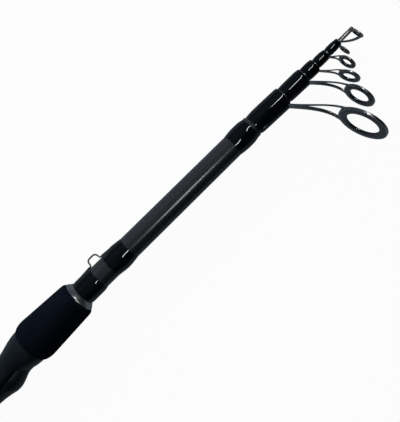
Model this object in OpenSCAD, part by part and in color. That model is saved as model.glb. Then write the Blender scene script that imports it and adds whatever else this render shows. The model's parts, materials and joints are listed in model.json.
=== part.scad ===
// Telescopic fishing rod, collapsed. It lies along +X with its tip forward, and the centre of the
// butt cap's end face is the origin. The reel seat's hoods face -Y and the hook keeper faces +Y.

/* [Butt blank] */
// Length of the butt blank
butt_len = 493.7; // [470:0.1:600]
// Outside diameter inside the handle
handle_blank_d = 17.2; // [16.6:0.1:18.4]
// Wall inside the handle
handle_wall = 0.7; // [0.5:0.05:0.9]
// Outside diameter at the tip
butt_tip_d = 15.8; // [15.5:0.1:16.4]
// Wall at the tip
butt_tip_wall = 0.55; // [0.45:0.05:0.65]
// Room behind section 2 when it is pushed all the way in
rest_gap = 24.7; // [2:0.1:60]

/* [Section 2] */
// Length that stands out of the butt blank
s2_out = 28.6; // [20:0.1:45]
// Outside diameter at the tip
s2_tip_d = 14.2; // [13.7:0.1:14.6]
// Wall of the tube
s2_wall = 0.55; // [0.4:0.05:0.65]
// Length held in the butt blank when it is drawn out
s2_lap = 50; // [30:1:80]

/* [Section 3] */
// Length that stands out of section 2
s3_out = 19.2; // [14:0.1:35]
// Outside diameter at the tip
s3_tip_d = 11.8; // [11.2:0.1:12.6]
// Wall of the tube
s3_wall = 0.5; // [0.4:0.05:0.65]
// Length held in section 2 when it is drawn out
s3_lap = 45; // [30:1:70]

/* [Section 4] */
// Length that stands out of section 3
s4_out = 10.4; // [8:0.1:25]
// Outside diameter at the tip
s4_tip_d = 9.6; // [9:0.1:10.4]
// Wall of the tube
s4_wall = 0.5; // [0.4:0.05:0.6]
// Length held in section 3 when it is drawn out
s4_lap = 40; // [26:1:60]

/* [Section 5] */
// Length that stands out of section 4
s5_out = 11; // [8:0.1:25]
// Outside diameter at the tip
s5_tip_d = 6.7; // [6.4:0.1:7.6]
// Wall of the tube
s5_wall = 0.45; // [0.35:0.05:0.5]
// Length held in section 4 when it is drawn out
s5_lap = 36; // [24:1:55]

/* [Section 6] */
// Length that stands out of section 5
s6_out = 11.3; // [8:0.1:25]
// Outside diameter at the tip
s6_tip_d = 5.5; // [5:0.1:5.6]
// Wall of the tube
s6_wall = 0.45; // [0.35:0.05:0.5]
// Length held in section 5 when it is drawn out
s6_lap = 32; // [22:1:50]

/* [Tip section] */
// Length that stands out of section 6
tip_out = 12; // [9:0.1:25]
// Diameter at the tip
tip_d = 1.8; // [1.2:0.1:2.4]
// Length held in section 6 when it is drawn out
tip_lap = 28; // [20:1:45]

/* [Guide 1] */
// Diameter of the line hole
g1_hole_d = 21.5; // [18:0.1:24]
// Outside diameter of the collar
g1_collar_d = 32.8; // [29:0.1:36]
// Distance of the ring's centre from the rod's axis
g1_height = 54; // [42:0.5:65]
// Lean of the ring towards the tip
g1_lean = 16.8; // [5:0.1:35]
// Turn about the rod, from the reel's side (-Y) towards +Z
g1_turn = 27.7; // [-60:0.1:60]
// Width of the foot strip
g1_strip_w = 4.6; // [3:0.1:5.4]
// Distance of the ring's centre ahead of its section's tip
g1_reach = 17.2; // [10:0.1:26]
// Thickness of the ring insert along its axis
g1_ring_t = 2.4; // [1.8:0.1:3.2]

/* [Guide 2] */
// Diameter of the line hole
g2_hole_d = 12.4; // [10:0.1:14]
// Outside diameter of the collar
g2_collar_d = 21; // [18.5:0.1:23]
// Distance of the ring's centre from the rod's axis
g2_height = 40.3; // [30:0.5:48]
// Lean of the ring towards the tip
g2_lean = 13.4; // [5:0.1:35]
// Turn about the rod, from the reel's side (-Y) towards +Z
g2_turn = 32.2; // [-60:0.1:60]
// Width of the foot strip
g2_strip_w = 3.4; // [2.4:0.1:4.2]
// Distance of the ring's centre ahead of its section's tip
g2_reach = 10; // [5:0.1:18]
// Thickness of the ring insert along its axis
g2_ring_t = 2.1; // [1.6:0.1:2.8]

/* [Guide 3] */
// Diameter of the line hole
g3_hole_d = 7.9; // [6.5:0.1:9]
// Outside diameter of the collar
g3_collar_d = 14.9; // [13:0.1:16.5]
// Distance of the ring's centre from the rod's axis
g3_height = 22; // [19:0.5:28]
// Lean of the ring towards the tip
g3_lean = 23.5; // [5:0.1:35]
// Turn about the rod, from the reel's side (-Y) towards +Z
g3_turn = 15.5; // [-60:0.1:60]
// Width of the foot strip
g3_strip_w = 3; // [2:0.1:3.6]
// Distance of the ring's centre ahead of its section's tip
g3_reach = 9.4; // [5:0.1:14]
// Thickness of the ring insert along its axis
g3_ring_t = 1.9; // [1.5:0.1:2.5]

/* [Guide 4] */
// Diameter of the line hole
g4_hole_d = 6.1; // [5:0.1:7]
// Outside diameter of the collar
g4_collar_d = 12.2; // [10.6:0.1:13.4]
// Distance of the ring's centre from the rod's axis
g4_height = 15.3; // [13.5:0.1:20]
// Lean of the ring towards the tip
g4_lean = 12.4; // [5:0.1:30]
// Turn about the rod, from the reel's side (-Y) towards +Z
g4_turn = 27; // [-60:0.1:60]
// Width of the foot strip
g4_strip_w = 2.4; // [1.8:0.1:3]
// Distance of the ring's centre ahead of its section's tip
g4_reach = 3.5; // [2:0.1:8]
// Thickness of the ring insert along its axis
g4_ring_t = 1.8; // [1.4:0.1:2.4]

/* [Guide 5] */
// Diameter of the line hole
g5_hole_d = 4.4; // [3.6:0.1:5]
// Outside diameter of the collar
g5_collar_d = 8.6; // [7.6:0.1:9.4]
// Distance of the ring's centre from the rod's axis
g5_height = 9; // [8.8:0.1:13]
// Lean of the ring towards the tip
g5_lean = 11.4; // [5:0.1:25]
// Turn about the rod, from the reel's side (-Y) towards +Z
g5_turn = -43.5; // [-60:0.1:60]
// Width of the foot strip
g5_strip_w = 2; // [1.5:0.1:2.4]
// Distance of the ring's centre ahead of its section's tip
g5_reach = 1.7; // [1:0.1:5]
// Thickness of the ring insert along its axis
g5_ring_t = 1.7; // [1.4:0.1:2.2]

/* [Tip top] */
// Outside diameter of the tube
tube_d = 3; // [2.8:0.1:4]
// Length of the tube
tube_len = 12.8; // [12.2:0.1:18]
// Diameter of the line hole
tt_hole_d = 4.6; // [3.8:0.1:5.2]
// Outside diameter of the collar
tt_collar_d = 9.6; // [9:0.1:10]
// Distance of the ring's centre from the rod's axis
tt_height = 6; // [5.4:0.1:6]
// Lean of the ring towards the tip
tt_lean = 15; // [8:0.5:25]
// Turn about the rod, from the reel's side (-Y) towards +Z
tt_turn = -42.8; // [-60:0.1:60]
// Diameter of the two brace wires
brace_d = 1; // [0.8:0.1:1.3]
// Thickness of the ring insert along its axis
tt_ring_t = 1.8; // [1.4:0.1:2.2]

/* [Guide frames] */
// Thickness of the stamped strip
strip_t = 0.9; // [0.5:0.05:1]
// Wall of the collar round an insert
collar_wall = 0.8; // [0.6:0.05:1]
// How far an insert stands proud of its collar on each side
ring_proud = 0.3; // [0.1:0.05:0.5]
// Length of the straight land inside a ring insert
ring_land = 0.6; // [0.4:0.05:0.8]
// How far behind a section's tip its guide's foot starts to rise
foot_emerge = 1.5; // [0.5:0.1:3]
// Length of the wrap behind the foot's hidden end
foot_cover = 3; // [2:0.1:4]

/* [Wraps] */
// Thickness of the wrap on sections 2 to 6
section_wrap_t = 0.42; // [0.3:0.02:0.6]
// Length over which a section wrap rounds off at each end
section_wrap_end = 1.6; // [0.8:0.1:2]
// Length of the collar wrap at the butt blank's tip
collar_wrap_len = 18.2; // [12:0.1:30]
// Thickness of the collar wrap
collar_wrap_t = 0.76; // [0.4:0.02:1]
// Length of the wrap over the hook keeper's rear foot
rear_wrap_len = 15.3; // [12:0.1:22]
// Thickness of the wrap over the hook keeper's rear foot
rear_wrap_t = 0.7; // [0.4:0.05:1.2]
// Length of the wrap over the hook keeper's front foot
front_wrap_len = 17; // [12:0.1:24]
// Thickness of the wrap over the hook keeper's front foot
front_wrap_t = 0.95; // [0.4:0.05:1.2]
// Length over which a wrap on the butt blank rounds off at each end
butt_wrap_end = 3; // [1.5:0.1:4]

/* [Hook keeper] */
// Diameter of the wire
keeper_wire_d = 1.2; // [0.8:0.1:1.6]
// Bare length of blank between the two keeper wraps
keeper_span = 11; // [9:0.1:16]
// Height of the loop's outer edge above the blank
keeper_rise = 5.6; // [5:0.1:8]
// How far each leg leans in on its way up
keeper_lean_in = 1.4; // [0.5:0.1:2]
// Length of each foot under its wrap
keeper_foot = 9; // [6:0.5:10]
// Length of wire that each bend takes up on either side of its corner
keeper_bend = 1.6; // [1:0.1:2]

/* [Grips] */
// Length of the rear grip
rear_grip_len = 172.7; // [120:0.1:220]
// Diameter of the rear grip
rear_grip_d = 28; // [25:0.1:32]
// Diameter of the rear grip where it meets the reel seat
rear_grip_neck_d = 25.4; // [24:0.1:27]
// Length of the taper at the rear grip's front end
rear_grip_taper = 34; // [20:1:45]
// Length of the fore grip
fore_grip_len = 44.6; // [30:0.1:80]
// Diameter of the fore grip at its rear end
fore_grip_rear_d = 30.6; // [27:0.1:34]
// Diameter of the fore grip at its front end
fore_grip_front_d = 26.6; // [24:0.1:30]
// Radius of the rear grip's rounded edge
grip_round = 2.6; // [1:0.1:4]
// Length of the fore grip's rounded rear end
fore_rear_round = 7; // [2:0.1:9]
// Drop of the fore grip's rounded rear end
fore_rear_drop = 2.4; // [1:0.1:4]
// Length of the fore grip's rounded front end
fore_front_round = 3.4; // [1:0.1:5]
// Drop of the fore grip's rounded front end
fore_front_drop = 2; // [0.5:0.1:3]
// Length of the winding check
check_len = 3.9; // [3:0.1:9]
// Diameter of the winding check at its rear end
check_rear_d = 23; // [21:0.1:26]
// Diameter of the winding check at its front end
check_front_d = 18.8; // [18:0.1:21]

/* [Reel seat] */
// Length of the reel seat
seat_len = 113.8; // [105:0.1:140]
// Diameter of the threaded barrel
barrel_d = 22; // [21:0.1:23.6]
// Distance of the flat bed, where the reel's foot lies, from the rod's axis
bed_height = 9.4; // [9.3:0.05:10]
// Diameter of the neck behind the flare
neck_d = 18.8; // [18.8:0.1:20.4]
// Diameter of the flare at the fore grip
flare_d = 26.6; // [24:0.1:27]
// Length of the flare
flare_len = 20; // [16:0.5:24]
// Length of the fixed hood's tongue, from its mouth to its root
hood_len = 33; // [29:0.5:36]
// Depth of the fixed hood's pocket for the reel's foot
pocket_len = 23; // [18:0.5:24]
// Distance of the fixed hood's mouth from the reel seat's front end
mouth_back = 44; // [40:0.5:50]
// Height of the hoods' crest above the rod's axis
hood_crest = 15.9; // [15:0.1:18]
// Height of the hoods' mouth above the rod's axis
hood_mouth = 13.8; // [13.2:0.1:15]
// Height of the hoods' root above the rod's axis
hood_root = 12.1; // [11.6:0.1:12.8]
// Wall of the hoods
hood_wall = 1.5; // [1.1:0.1:2]
// Length of the moving hood
moving_hood_len = 27; // [24:0.5:32]
// Length of the moving hood's sleeve
sleeve_len = 13; // [10:0.5:16]
// Diameter of the moving hood's sleeve
sleeve_d = 26; // [25.4:0.1:27.5]
// Length of the lock nut
nut_len = 15; // [10:0.5:20]
// Diameter of the lock nut
nut_d = 28; // [26.5:0.1:30]
// Number of finger grooves round the lock nut
nut_grooves = 16; // [10:1:24]
// Depth of the finger grooves
nut_groove_depth = 0.8; // [0.4:0.1:1.2]

/* [Butt cap] */
// Length of the butt cap's head
cap_len = 14; // [10:0.5:20]
// Diameter of the butt cap's head
cap_d = 27.6; // [24:0.1:28]
// Radius of the butt cap's outer edge
cap_round = 3; // [1:0.1:4]
// Depth of the finger grooves round the butt cap
cap_groove_depth = 0.6; // [0.3:0.1:1]
// Number of finger grooves round the butt cap
cap_grooves = 20; // [12:1:28]
// Diameter of the screw
screw_d = 13; // [11:0.1:13.2]
// Length of the screw
screw_len = 16; // [11:0.5:22]
// Wall of the hollow screw
screw_wall = 1.3; // [1:0.1:2]
// Depth of the pad's pocket in the head
pad_pocket = 5; // [3:0.5:8]
// How far the pad stands out of the screw
pad_proud = 1.5; // [0.5:0.1:3]
// Thickness of the sealing ring
seal_t = 1.2; // [0.8:0.1:2]
// Outside diameter of the sealing ring
seal_d = 16.8; // [16:0.1:17]
// Length of the threaded bush in the butt blank
bush_len = 19; // [17:0.5:26]

/* [Fits] */
// Radial gap of a section jammed in the section before it
jam_gap = 0.08; // [0.05:0.01:0.1]
// Growth of the jam cone's radius for each millimetre of length
jam_taper = 0.002; // [0.001:0.0005:0.003]
// Gap between a section's wrap and the end of the section behind it
stop_gap = 0.5; // [0.3:0.1:1]
// Film of glue between fixed pieces
glue_gap = 0.05; // [0.02:0.01:0.1]
// Radial gap of a turning thread
thread_gap = 0.09; // [0.05:0.01:0.1]
// Gap between faces that slide or turn past each other
face_gap = 0.2; // [0.1:0.05:0.3]

/* [Hidden] */
FIRST = 2;
LAST = 6;
SECTIONS = [FIRST:LAST];
$fn = 96;

CARBON = "#2a2c31";
EPOXY = "#0d0e10";
FOAM = "#1f2228";
GUNMETAL = "#4a4c50";
CERAMIC = "#121315";
SEAT_PLASTIC = "#4d535b";
RUBBER = "#18191b";

arc_steps = 6;
past = 1;
weld = 0.1;
corner_steps = 4;
wire_sides = 14;
ridge_start = 0.62;
ridge_spread = 2.5;
leg_steps = 12;
leg_turn = 50;
leg_leave = 0.2;
leg_arrive = 1.05;
leg_bow = 0.025;
groove_r = 2.2;

// Places along the rod
butt_rear = cap_len + seal_t + 2 * glue_gap;
butt_tip_x = butt_rear + butt_len;
rear_grip_front = butt_rear + rear_grip_len;
seat_rear = rear_grip_front + glue_gap;
seat_front = seat_rear + seat_len;
fore_grip_rear = seat_front + glue_gap;
fore_grip_front = fore_grip_rear + fore_grip_len;
check_rear = fore_grip_front + glue_gap;
check_front = check_rear + check_len;
rear_wrap_x = check_front + glue_gap;
keeper_rear = rear_wrap_x + rear_wrap_len;
keeper_front = keeper_rear + keeper_span;
front_wrap_end = keeper_front + front_wrap_len;
bush_front = butt_rear + bush_len;
screw_front = cap_len + screw_len;
pad_front = screw_front + pad_proud;

// How far each section slides out of the one behind it
draw = butt_tip_x - s2_lap - max(bush_front, pad_front) - rest_gap;

// The sections' sizes as lists, section 2 first
out = [s2_out, s3_out, s4_out, s5_out, s6_out, tip_out];
lap = [s2_lap, s3_lap, s4_lap, s5_lap, s6_lap, tip_lap];
section_tip_d = [s2_tip_d, s3_tip_d, s4_tip_d, s5_tip_d, s6_tip_d, tip_d];
section_wall = [s2_wall, s3_wall, s4_wall, s5_wall, s6_wall];

// The guides' sizes as lists, guide 1 first
hole_d = [g1_hole_d, g2_hole_d, g3_hole_d, g4_hole_d, g5_hole_d];
collar_d = [g1_collar_d, g2_collar_d, g3_collar_d, g4_collar_d, g5_collar_d];
height = [g1_height, g2_height, g3_height, g4_height, g5_height];
lean = [g1_lean, g2_lean, g3_lean, g4_lean, g5_lean];
turn = [g1_turn, g2_turn, g3_turn, g4_turn, g5_turn];
strip_w = [g1_strip_w, g2_strip_w, g3_strip_w, g4_strip_w, g5_strip_w];
reach = [g1_reach, g2_reach, g3_reach, g4_reach, g5_reach];
ring_t = [g1_ring_t, g2_ring_t, g3_ring_t, g4_ring_t, g5_ring_t];

// A section's tip, bore and base. Section 1 is the butt blank and section 7 is the tip.
function tip_x(n) = n < FIRST ? butt_tip_x : tip_x(n - 1) + out[n - FIRST];
function tip_r(n) = (n < FIRST ? butt_tip_d : section_tip_d[n - FIRST]) / 2;
function bore_r(n) = tip_r(n) - (n < FIRST ? butt_tip_wall : section_wall[n - FIRST]);
function lap_of(n) = lap[n - FIRST];
function base_x(n) = tip_x(n - 1) - lap_of(n) - draw;
function jam_r(n) = bore_r(n - 1) - jam_gap;
function base_r(n) = jam_r(n) + jam_taper * lap_of(n);

// Outside of a section, as [place along the rod, radius]
function section_outside(n) = [
    [base_x(n), base_r(n)],
    [base_x(n) + lap_of(n), jam_r(n)],
    [tip_x(n), tip_r(n)]
];
butt_outside = [
    [butt_rear, handle_blank_d / 2],
    [fore_grip_rear, handle_blank_d / 2],
    [butt_tip_x, butt_tip_d / 2]
];
function butt_r(x) = lookup(x, butt_outside);
function section_r(n, x) = lookup(x, section_outside(n));

// Bore of a tube from its tip back: a jam cone for the next section, then a straight taper
function bore_outline(n, base, base_bore) = [
    [base, base_bore],
    [tip_x(n) - lap_of(n + 1), bore_r(n) + jam_taper * lap_of(n + 1)],
    [tip_x(n), bore_r(n)]
];

// Quarter round from [r0, x0] to [r1, x1], steep at its start
function quarter(r0, x0, r1, x1) = [
    for (i = [0:arc_steps])
        let (a = 90 * i / arc_steps)
            [r0 + (r1 - r0) * sin(a), x0 + (x1 - x0) * (1 - cos(a))]
];
function reversed(list) = [for (i = [len(list) - 1:-1:0]) list[i]];
function swapped(list) = [for (p = list) [p[1], p[0]]];

// Turns an outline of [radius, place along the rod] round the rod's axis
module turned(outline) {
    rotate([0, 90, 0])
        rotate_extrude()
            polygon(outline);
}

// Cylinder along the rod
module rod(d, x0, x1) {
    translate([x0, 0, 0])
        rotate([0, 90, 0])
            cylinder(d = d, h = x1 - x0);
}

// Solid of the butt blank's outside from x0 to x1, larger by a gap
module butt_core(x0, x1, gap) {
    inner = [for (p = butt_outside) if (p[0] > x0 && p[0] < x1) [p[1] + gap, p[0]]];
    turned(concat([[0, x0], [butt_r(x0) + gap, x0]], inner, [[butt_r(x1) + gap, x1], [0, x1]]));
}

// Straight wire between two points
module wire(p, q, d) {
    v = q - p;
    translate(p)
        rotate([0, acos(v[2] / norm(v)), atan2(v[1], v[0])])
            cylinder(d = d, h = norm(v), $fn = 32);
}

function unit(v) = v / norm(v);

// A section of [across, up] points swept along a path as one closed solid. Its second axis faces the way up.
module swept(path, up, section) {
    last = len(path) - 1;
    count = len(section);
    points = [
        for (i = [0:last])
            let (
                forward = unit(path[min(i + 1, last)] - path[max(i - 1, 0)]),
                rise = unit(up - forward * (up * forward)),
                across = cross(rise, forward)
            )
                for (s = section)
                    path[i] + s[0] * across + s[1] * rise
    ];
    walls = [
        for (i = [0:last - 1])
            for (k = [0:count - 1])
                let (a = i * count + k, b = i * count + (k + 1) % count)
                    each [[a, a + count, b], [b, a + count, b + count]]
    ];
    ends = [
        [for (k = [0:count - 1]) k],
        [for (k = [count - 1:-1:0]) last * count + k]
    ];
    polyhedron(points, concat(walls, ends));
}

function wire_section(d) = [
    for (k = [0:wire_sides - 1])
        let (a = 360 * k / wire_sides)
            d / 2 * [cos(a), sin(a)]
];

// Points of a path that rounds the corner q between p and r, starting a given distance before it
function rounded_corner(p, q, r, back) =
    let (a = q + back * (p - q) / norm(p - q), b = q + back * (r - q) / norm(r - q))
        [for (k = [0:corner_steps])
            let (t = k / corner_steps)
                (1 - t) * (1 - t) * a + 2 * t * (1 - t) * q + t * t * b];

// Carries what is modelled with its radius along +Z to a turn from -Y towards +Z
module turn_to(a) {
    rotate([90 - a, 0, 0])
        children();
}

// A wrap from x0 to x1 on a core of radius r0 to r1, rounded off at both ends
module wrap_ring(x0, x1, r0, r1, t, end) {
    blunt = t / 4;
    turned(concat(
        [[r0, x0]],
        quarter(r0 + blunt, x0, r0 + t, x0 + end),
        reversed(quarter(r1 + blunt, x1, r1 + t, x1 - end)),
        [[r1, x1]]
    ));
}

// Round ridge that a wrap forms over a foot lying along the rod. It sinks half way into the wrap.
module wrap_ridge(x0, x1, r0, r1, t, foot_w, foot_top, end) {
    r = foot_w / 2 + ridge_spread * t;
    sunk = t / 2;
    difference() {
        translate([0, 0, foot_top + t - r])
            turned([[0, x0], [r - t, x0], [r, x0 + end], [r, x1 - end], [r - t, x1], [0, x1]]);
        turned([
            [0, x0 - past],
            [r0 + sunk, x0 - past],
            [r1 + sunk, x1 + past],
            [0, x1 + past]
        ]);
    }
}

// Handle

module butt_blank() {
    handle_bore = handle_blank_d / 2 - handle_wall;
    bore = concat([[butt_rear, handle_bore]], bore_outline(FIRST - 1, fore_grip_rear, handle_bore));
    color(CARBON)
        turned(concat(swapped(butt_outside), reversed(swapped(bore))));
}

module rear_grip() {
    r = rear_grip_d / 2;
    neck = rear_grip_neck_d / 2;
    bore = handle_blank_d / 2 + glue_gap;
    taper_x = rear_grip_front - rear_grip_taper;
    color(FOAM)
        turned(concat(
            [[bore, butt_rear]],
            quarter(cap_d / 2 - cap_round / 2, butt_rear, r, butt_rear + grip_round),
            [[r, taper_x]],
            [for (i = [1:arc_steps])
                let (a = 90 * i / arc_steps)
                    [r - (r - neck) * (1 - cos(2 * a)) / 2, taper_x + rear_grip_taper * i / arc_steps]],
            [[bore, rear_grip_front]]
        ));
}

module fore_grip() {
    r0 = fore_grip_rear_d / 2;
    r1 = fore_grip_front_d / 2;
    rear = quarter(r0 - fore_rear_drop, fore_grip_rear, r0, fore_grip_rear + fore_rear_round);
    front = quarter(r1 - fore_front_drop, fore_grip_front, r1, fore_grip_front - fore_front_round);
    color(FOAM)
        difference() {
            turned(concat([[0, fore_grip_rear]], rear, reversed(front), [[0, fore_grip_front]]));
            butt_core(fore_grip_rear - past, fore_grip_front + past, glue_gap);
        }
}

module winding_check() {
    r0 = check_rear_d / 2;
    r1 = check_front_d / 2;
    lip = check_len / 5;
    color(GUNMETAL)
        difference() {
            turned([
                [0, check_rear],
                [r0 - lip / 2, check_rear],
                [r0, check_rear + lip / 2],
                [r0, check_rear + lip],
                [r1, check_front - lip / 2],
                [r1 - lip / 2, check_front],
                [0, check_front]
            ]);
            butt_core(check_rear - past, check_front + past, glue_gap);
        }
}

// Hook keeper and the wraps on the butt blank

keeper_wire_y = butt_r(keeper_rear) + glue_gap + keeper_wire_d / 2;
keeper_top_y = butt_r(keeper_rear) + keeper_rise - keeper_wire_d / 2;
keeper_leg = keeper_wire_d / 2 + glue_gap;
keeper_corners = [
    [keeper_rear - keeper_foot, keeper_wire_y, 0],
    [keeper_rear + keeper_leg, keeper_wire_y, 0],
    [keeper_rear + keeper_leg + keeper_lean_in, keeper_top_y, 0],
    [keeper_front - keeper_leg - keeper_lean_in, keeper_top_y, 0],
    [keeper_front - keeper_leg, keeper_wire_y, 0],
    [keeper_front + keeper_foot, keeper_wire_y, 0]
];
keeper_path = concat(
    [keeper_corners[0]],
    [for (i = [1:len(keeper_corners) - 2])
        each rounded_corner(keeper_corners[i - 1], keeper_corners[i], keeper_corners[i + 1], keeper_bend)],
    [keeper_corners[len(keeper_corners) - 1]]
);

module hook_keeper() {
    color(GUNMETAL)
        swept(keeper_path, [0, 0, 1], wire_section(keeper_wire_d));
}

// Wrap on the butt blank from x0 to x1
module butt_wrap(x0, x1, t) {
    wrap_ring(x0, x1, butt_r(x0) + glue_gap, butt_r(x1) + glue_gap, t, butt_wrap_end);
}

// Wrap on the butt blank that covers one foot of the hook keeper, with a ridge from rx0 to rx1
module keeper_wrap(x0, x1, t, rx0, rx1, foot) {
    foot_top = keeper_wire_y + keeper_wire_d / 2;
    color(EPOXY)
        difference() {
            union() {
                butt_wrap(x0, x1, t);
                rotate([-90, 0, 0])
                    wrap_ridge(rx0, rx1, butt_r(rx0) + glue_gap, butt_r(rx1) + glue_gap, t / 2,
                               keeper_wire_d, foot_top, keeper_foot / 4);
            }
            wire(foot[0], foot[1], keeper_wire_d + 2 * glue_gap);
        }
}

module keeper_wrap_rear() {
    bury = [keeper_rear - keeper_foot - glue_gap, keeper_wire_y, 0];
    rim = [keeper_rear + past, keeper_wire_y, 0];
    keeper_wrap(rear_wrap_x, keeper_rear, rear_wrap_t, keeper_rear - keeper_foot - past,
                keeper_rear - weld, [bury, rim]);
}

module keeper_wrap_front() {
    rim = [keeper_front - past, keeper_wire_y, 0];
    bury = [keeper_front + keeper_foot + glue_gap, keeper_wire_y, 0];
    keeper_wrap(keeper_front, front_wrap_end, front_wrap_t, keeper_front + weld,
                keeper_front + keeper_foot + past, [rim, bury]);
}

module collar_wrap() {
    color(EPOXY)
        butt_wrap(butt_tip_x - collar_wrap_len, butt_tip_x, collar_wrap_t);
}

// Reel seat

hood_offset = 4;
hood_edge_mouth = 8.8;
hood_edge_root = 5.6;
crest_start = 0.5;
crest_end = 0.57;
barrel_lead = 4;
bare_thread = 4;
flare_curve = 1.3;
mouth_x = seat_front - mouth_back;
barrel_front = mouth_x + barrel_lead;
neck_x = seat_front - flare_len;
bed_front = mouth_x + pocket_len;
nut_rear = seat_rear + bare_thread;
nut_front = nut_rear + nut_len;
moving_hood_rear = nut_front + face_gap;
moving_hood_front = moving_hood_rear + moving_hood_len;

// Outline of a hood's dome round its own axis: it swells from the mouth to the crest, then falls to the root
function hood_outline(length, inset) =
    let (lower = hood_offset + inset)
        concat(
            [for (i = [0:arc_steps])
                let (u = i / arc_steps)
                    [hood_mouth + (hood_crest - hood_mouth) * u * u - lower, length * crest_start * u]],
            [for (i = [0:arc_steps])
                let (u = i / arc_steps, c = cos(90 * u))
                    [hood_root + (hood_crest - hood_root) * c * c - lower,
                     length * (crest_end + (1 - crest_end) * u)]]
        );

// Solid dome of a hood, with its mouth at x = 0 and its root at x = length
module hood_dome(length, inset) {
    translate([0, -hood_offset, 0])
        turned(concat([[0, 0]], hood_outline(length, inset), [[0, length]]));
}

// A hood's shell: the dome above its slanting lower edge, less the pocket for the reel's foot
module hood_shell(length, pocket) {
    reach = 2 * hood_crest;
    mouth_r = hood_mouth - hood_offset - hood_wall;
    difference() {
        intersection() {
            hood_dome(length, 0);
            translate([0, 0, -reach])
                linear_extrude(2 * reach)
                    polygon([
                        [-past, -reach],
                        [length + past, -reach],
                        [length + past, -hood_edge_root],
                        [-past, -hood_edge_mouth]
                    ]);
        }
        intersection() {
            hood_dome(length, hood_wall);
            translate([-past, -reach, -reach])
                cube([pocket + past, 2 * reach, 2 * reach]);
        }
        translate([0, -hood_offset, 0])
            rod(2 * mouth_r, -past, weld);
    }
}

// Solid above the bed, where the reel's foot lies
module above_bed(x0, x1, gap) {
    reach = 2 * hood_crest;
    translate([x0, -reach, -reach])
        cube([x1 - x0, reach - bed_height + gap, 2 * reach]);
}

module reel_seat() {
    r = barrel_d / 2;
    neck = neck_d / 2;
    flare = flare_d / 2;
    chamfer = 0.6;
    color(SEAT_PLASTIC)
        difference() {
            union() {
                difference() {
                    turned(concat(
                        [[0, seat_rear], [r - chamfer, seat_rear], [r, seat_rear + chamfer]],
                        [for (i = [0:arc_steps])
                            let (a = 180 * i / arc_steps)
                                [neck + (r - neck) * (1 + cos(a)) / 2,
                                 barrel_front + (neck_x - barrel_front) * i / arc_steps]],
                        [for (i = [1:arc_steps])
                            let (a = 90 * i / arc_steps)
                                [neck + (flare - neck) * pow(sin(a), flare_curve),
                                 neck_x + flare_len * i / arc_steps]],
                        [[0, seat_front]]
                    ));
                    above_bed(seat_rear - past, bed_front, 0);
                }
                translate([mouth_x, 0, 0])
                    hood_shell(hood_len, pocket_len);
            }
            rod(handle_blank_d + 2 * glue_gap, seat_rear - past, seat_front + past);
        }
}

module moving_hood() {
    bore_d = barrel_d + 2 * thread_gap;
    r = sleeve_d / 2;
    chamfer = 0.8;
    sleeve_front = moving_hood_rear + sleeve_len;
    color(SEAT_PLASTIC)
        difference() {
            union() {
                turned([
                    [0, moving_hood_rear],
                    [r - chamfer, moving_hood_rear],
                    [r, moving_hood_rear + chamfer],
                    [r, sleeve_front - chamfer],
                    [r - chamfer, sleeve_front],
                    [0, sleeve_front]
                ]);
                translate([moving_hood_front, 0, 0])
                    mirror([1, 0, 0])
                        hood_shell(moving_hood_len, moving_hood_len - sleeve_len - hood_wall);
            }
            difference() {
                rod(bore_d, moving_hood_rear - past, moving_hood_front + past);
                above_bed(moving_hood_rear - 2 * past, sleeve_front, -thread_gap);
            }
        }
}

module lock_nut() {
    r = nut_d / 2;
    bore = barrel_d / 2 + thread_gap;
    chamfer = 1;
    color(SEAT_PLASTIC)
        difference() {
            turned([
                [bore, nut_rear],
                [r - chamfer, nut_rear],
                [r, nut_rear + chamfer],
                [r, nut_front - 2 * chamfer],
                [r - chamfer, nut_front],
                [bore, nut_front]
            ]);
            for (i = [0:nut_grooves - 1])
                rotate([360 * i / nut_grooves, 0, 0])
                    translate([0, 0, r + groove_r - nut_groove_depth])
                        rod(2 * groove_r, nut_rear - past, nut_front + past, $fn = 32);
        }
}

// Butt cap

module butt_bush() {
    color(GUNMETAL)
        difference() {
            rod(handle_blank_d - 2 * handle_wall - 2 * glue_gap, butt_rear, bush_front);
            rod(screw_d + 2 * thread_gap, butt_rear - past, bush_front + past);
        }
}

module butt_cap() {
    r = cap_d / 2;
    chamfer = 0.6;
    groove_rear = cap_round + cap_groove_depth;
    groove_front = cap_len - cap_round / 2;
    screw_r = screw_d / 2;
    hollow_r = screw_r - screw_wall;
    color(RUBBER)
        difference() {
            turned(concat(
                [[0, 0]],
                quarter(r - cap_round, 0, r, cap_round),
                [
                    [r, cap_len - chamfer],
                    [r - chamfer, cap_len],
                    [screw_r, cap_len],
                    [screw_r, screw_front - chamfer],
                    [screw_r - chamfer, screw_front],
                    [hollow_r, screw_front],
                    [hollow_r, cap_len - pad_pocket],
                    [0, cap_len - pad_pocket]
                ]
            ));
            for (i = [0:cap_grooves - 1])
                rotate([360 * i / cap_grooves, 0, 0])
                    translate([0, 0, r + groove_r - cap_groove_depth])
                        rod(2 * groove_r, groove_rear, groove_front, $fn = 32);
        }
}

module cap_seal() {
    color(RUBBER)
        difference() {
            rod(seal_d, cap_len + glue_gap, cap_len + glue_gap + seal_t);
            rod(screw_d + 2 * thread_gap, cap_len - past, cap_len + seal_t + past);
        }
}

module cap_pad() {
    color(RUBBER)
        rod(screw_d - 2 * screw_wall - 2 * glue_gap, cap_len - pad_pocket + glue_gap, pad_front);
}

// Sections

module section_blank(n) {
    bore = bore_outline(n, base_x(n), base_r(n) - section_wall[n - FIRST]);
    color(CARBON)
        turned(concat(swapped(section_outside(n)), reversed(swapped(bore))));
}

module tip_blank() {
    n = LAST + 1;
    color(CARBON)
        turned(concat([[0, base_x(n)]], swapped(section_outside(n)), [[0, tip_x(n)]]));
}

function wrap_x(n) = tip_x(n - 1) + stop_gap;
function foot_z(n) = tip_r(n) + glue_gap + strip_t / 2;
function bend_x(n) = tip_x(n) - foot_emerge;

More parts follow.
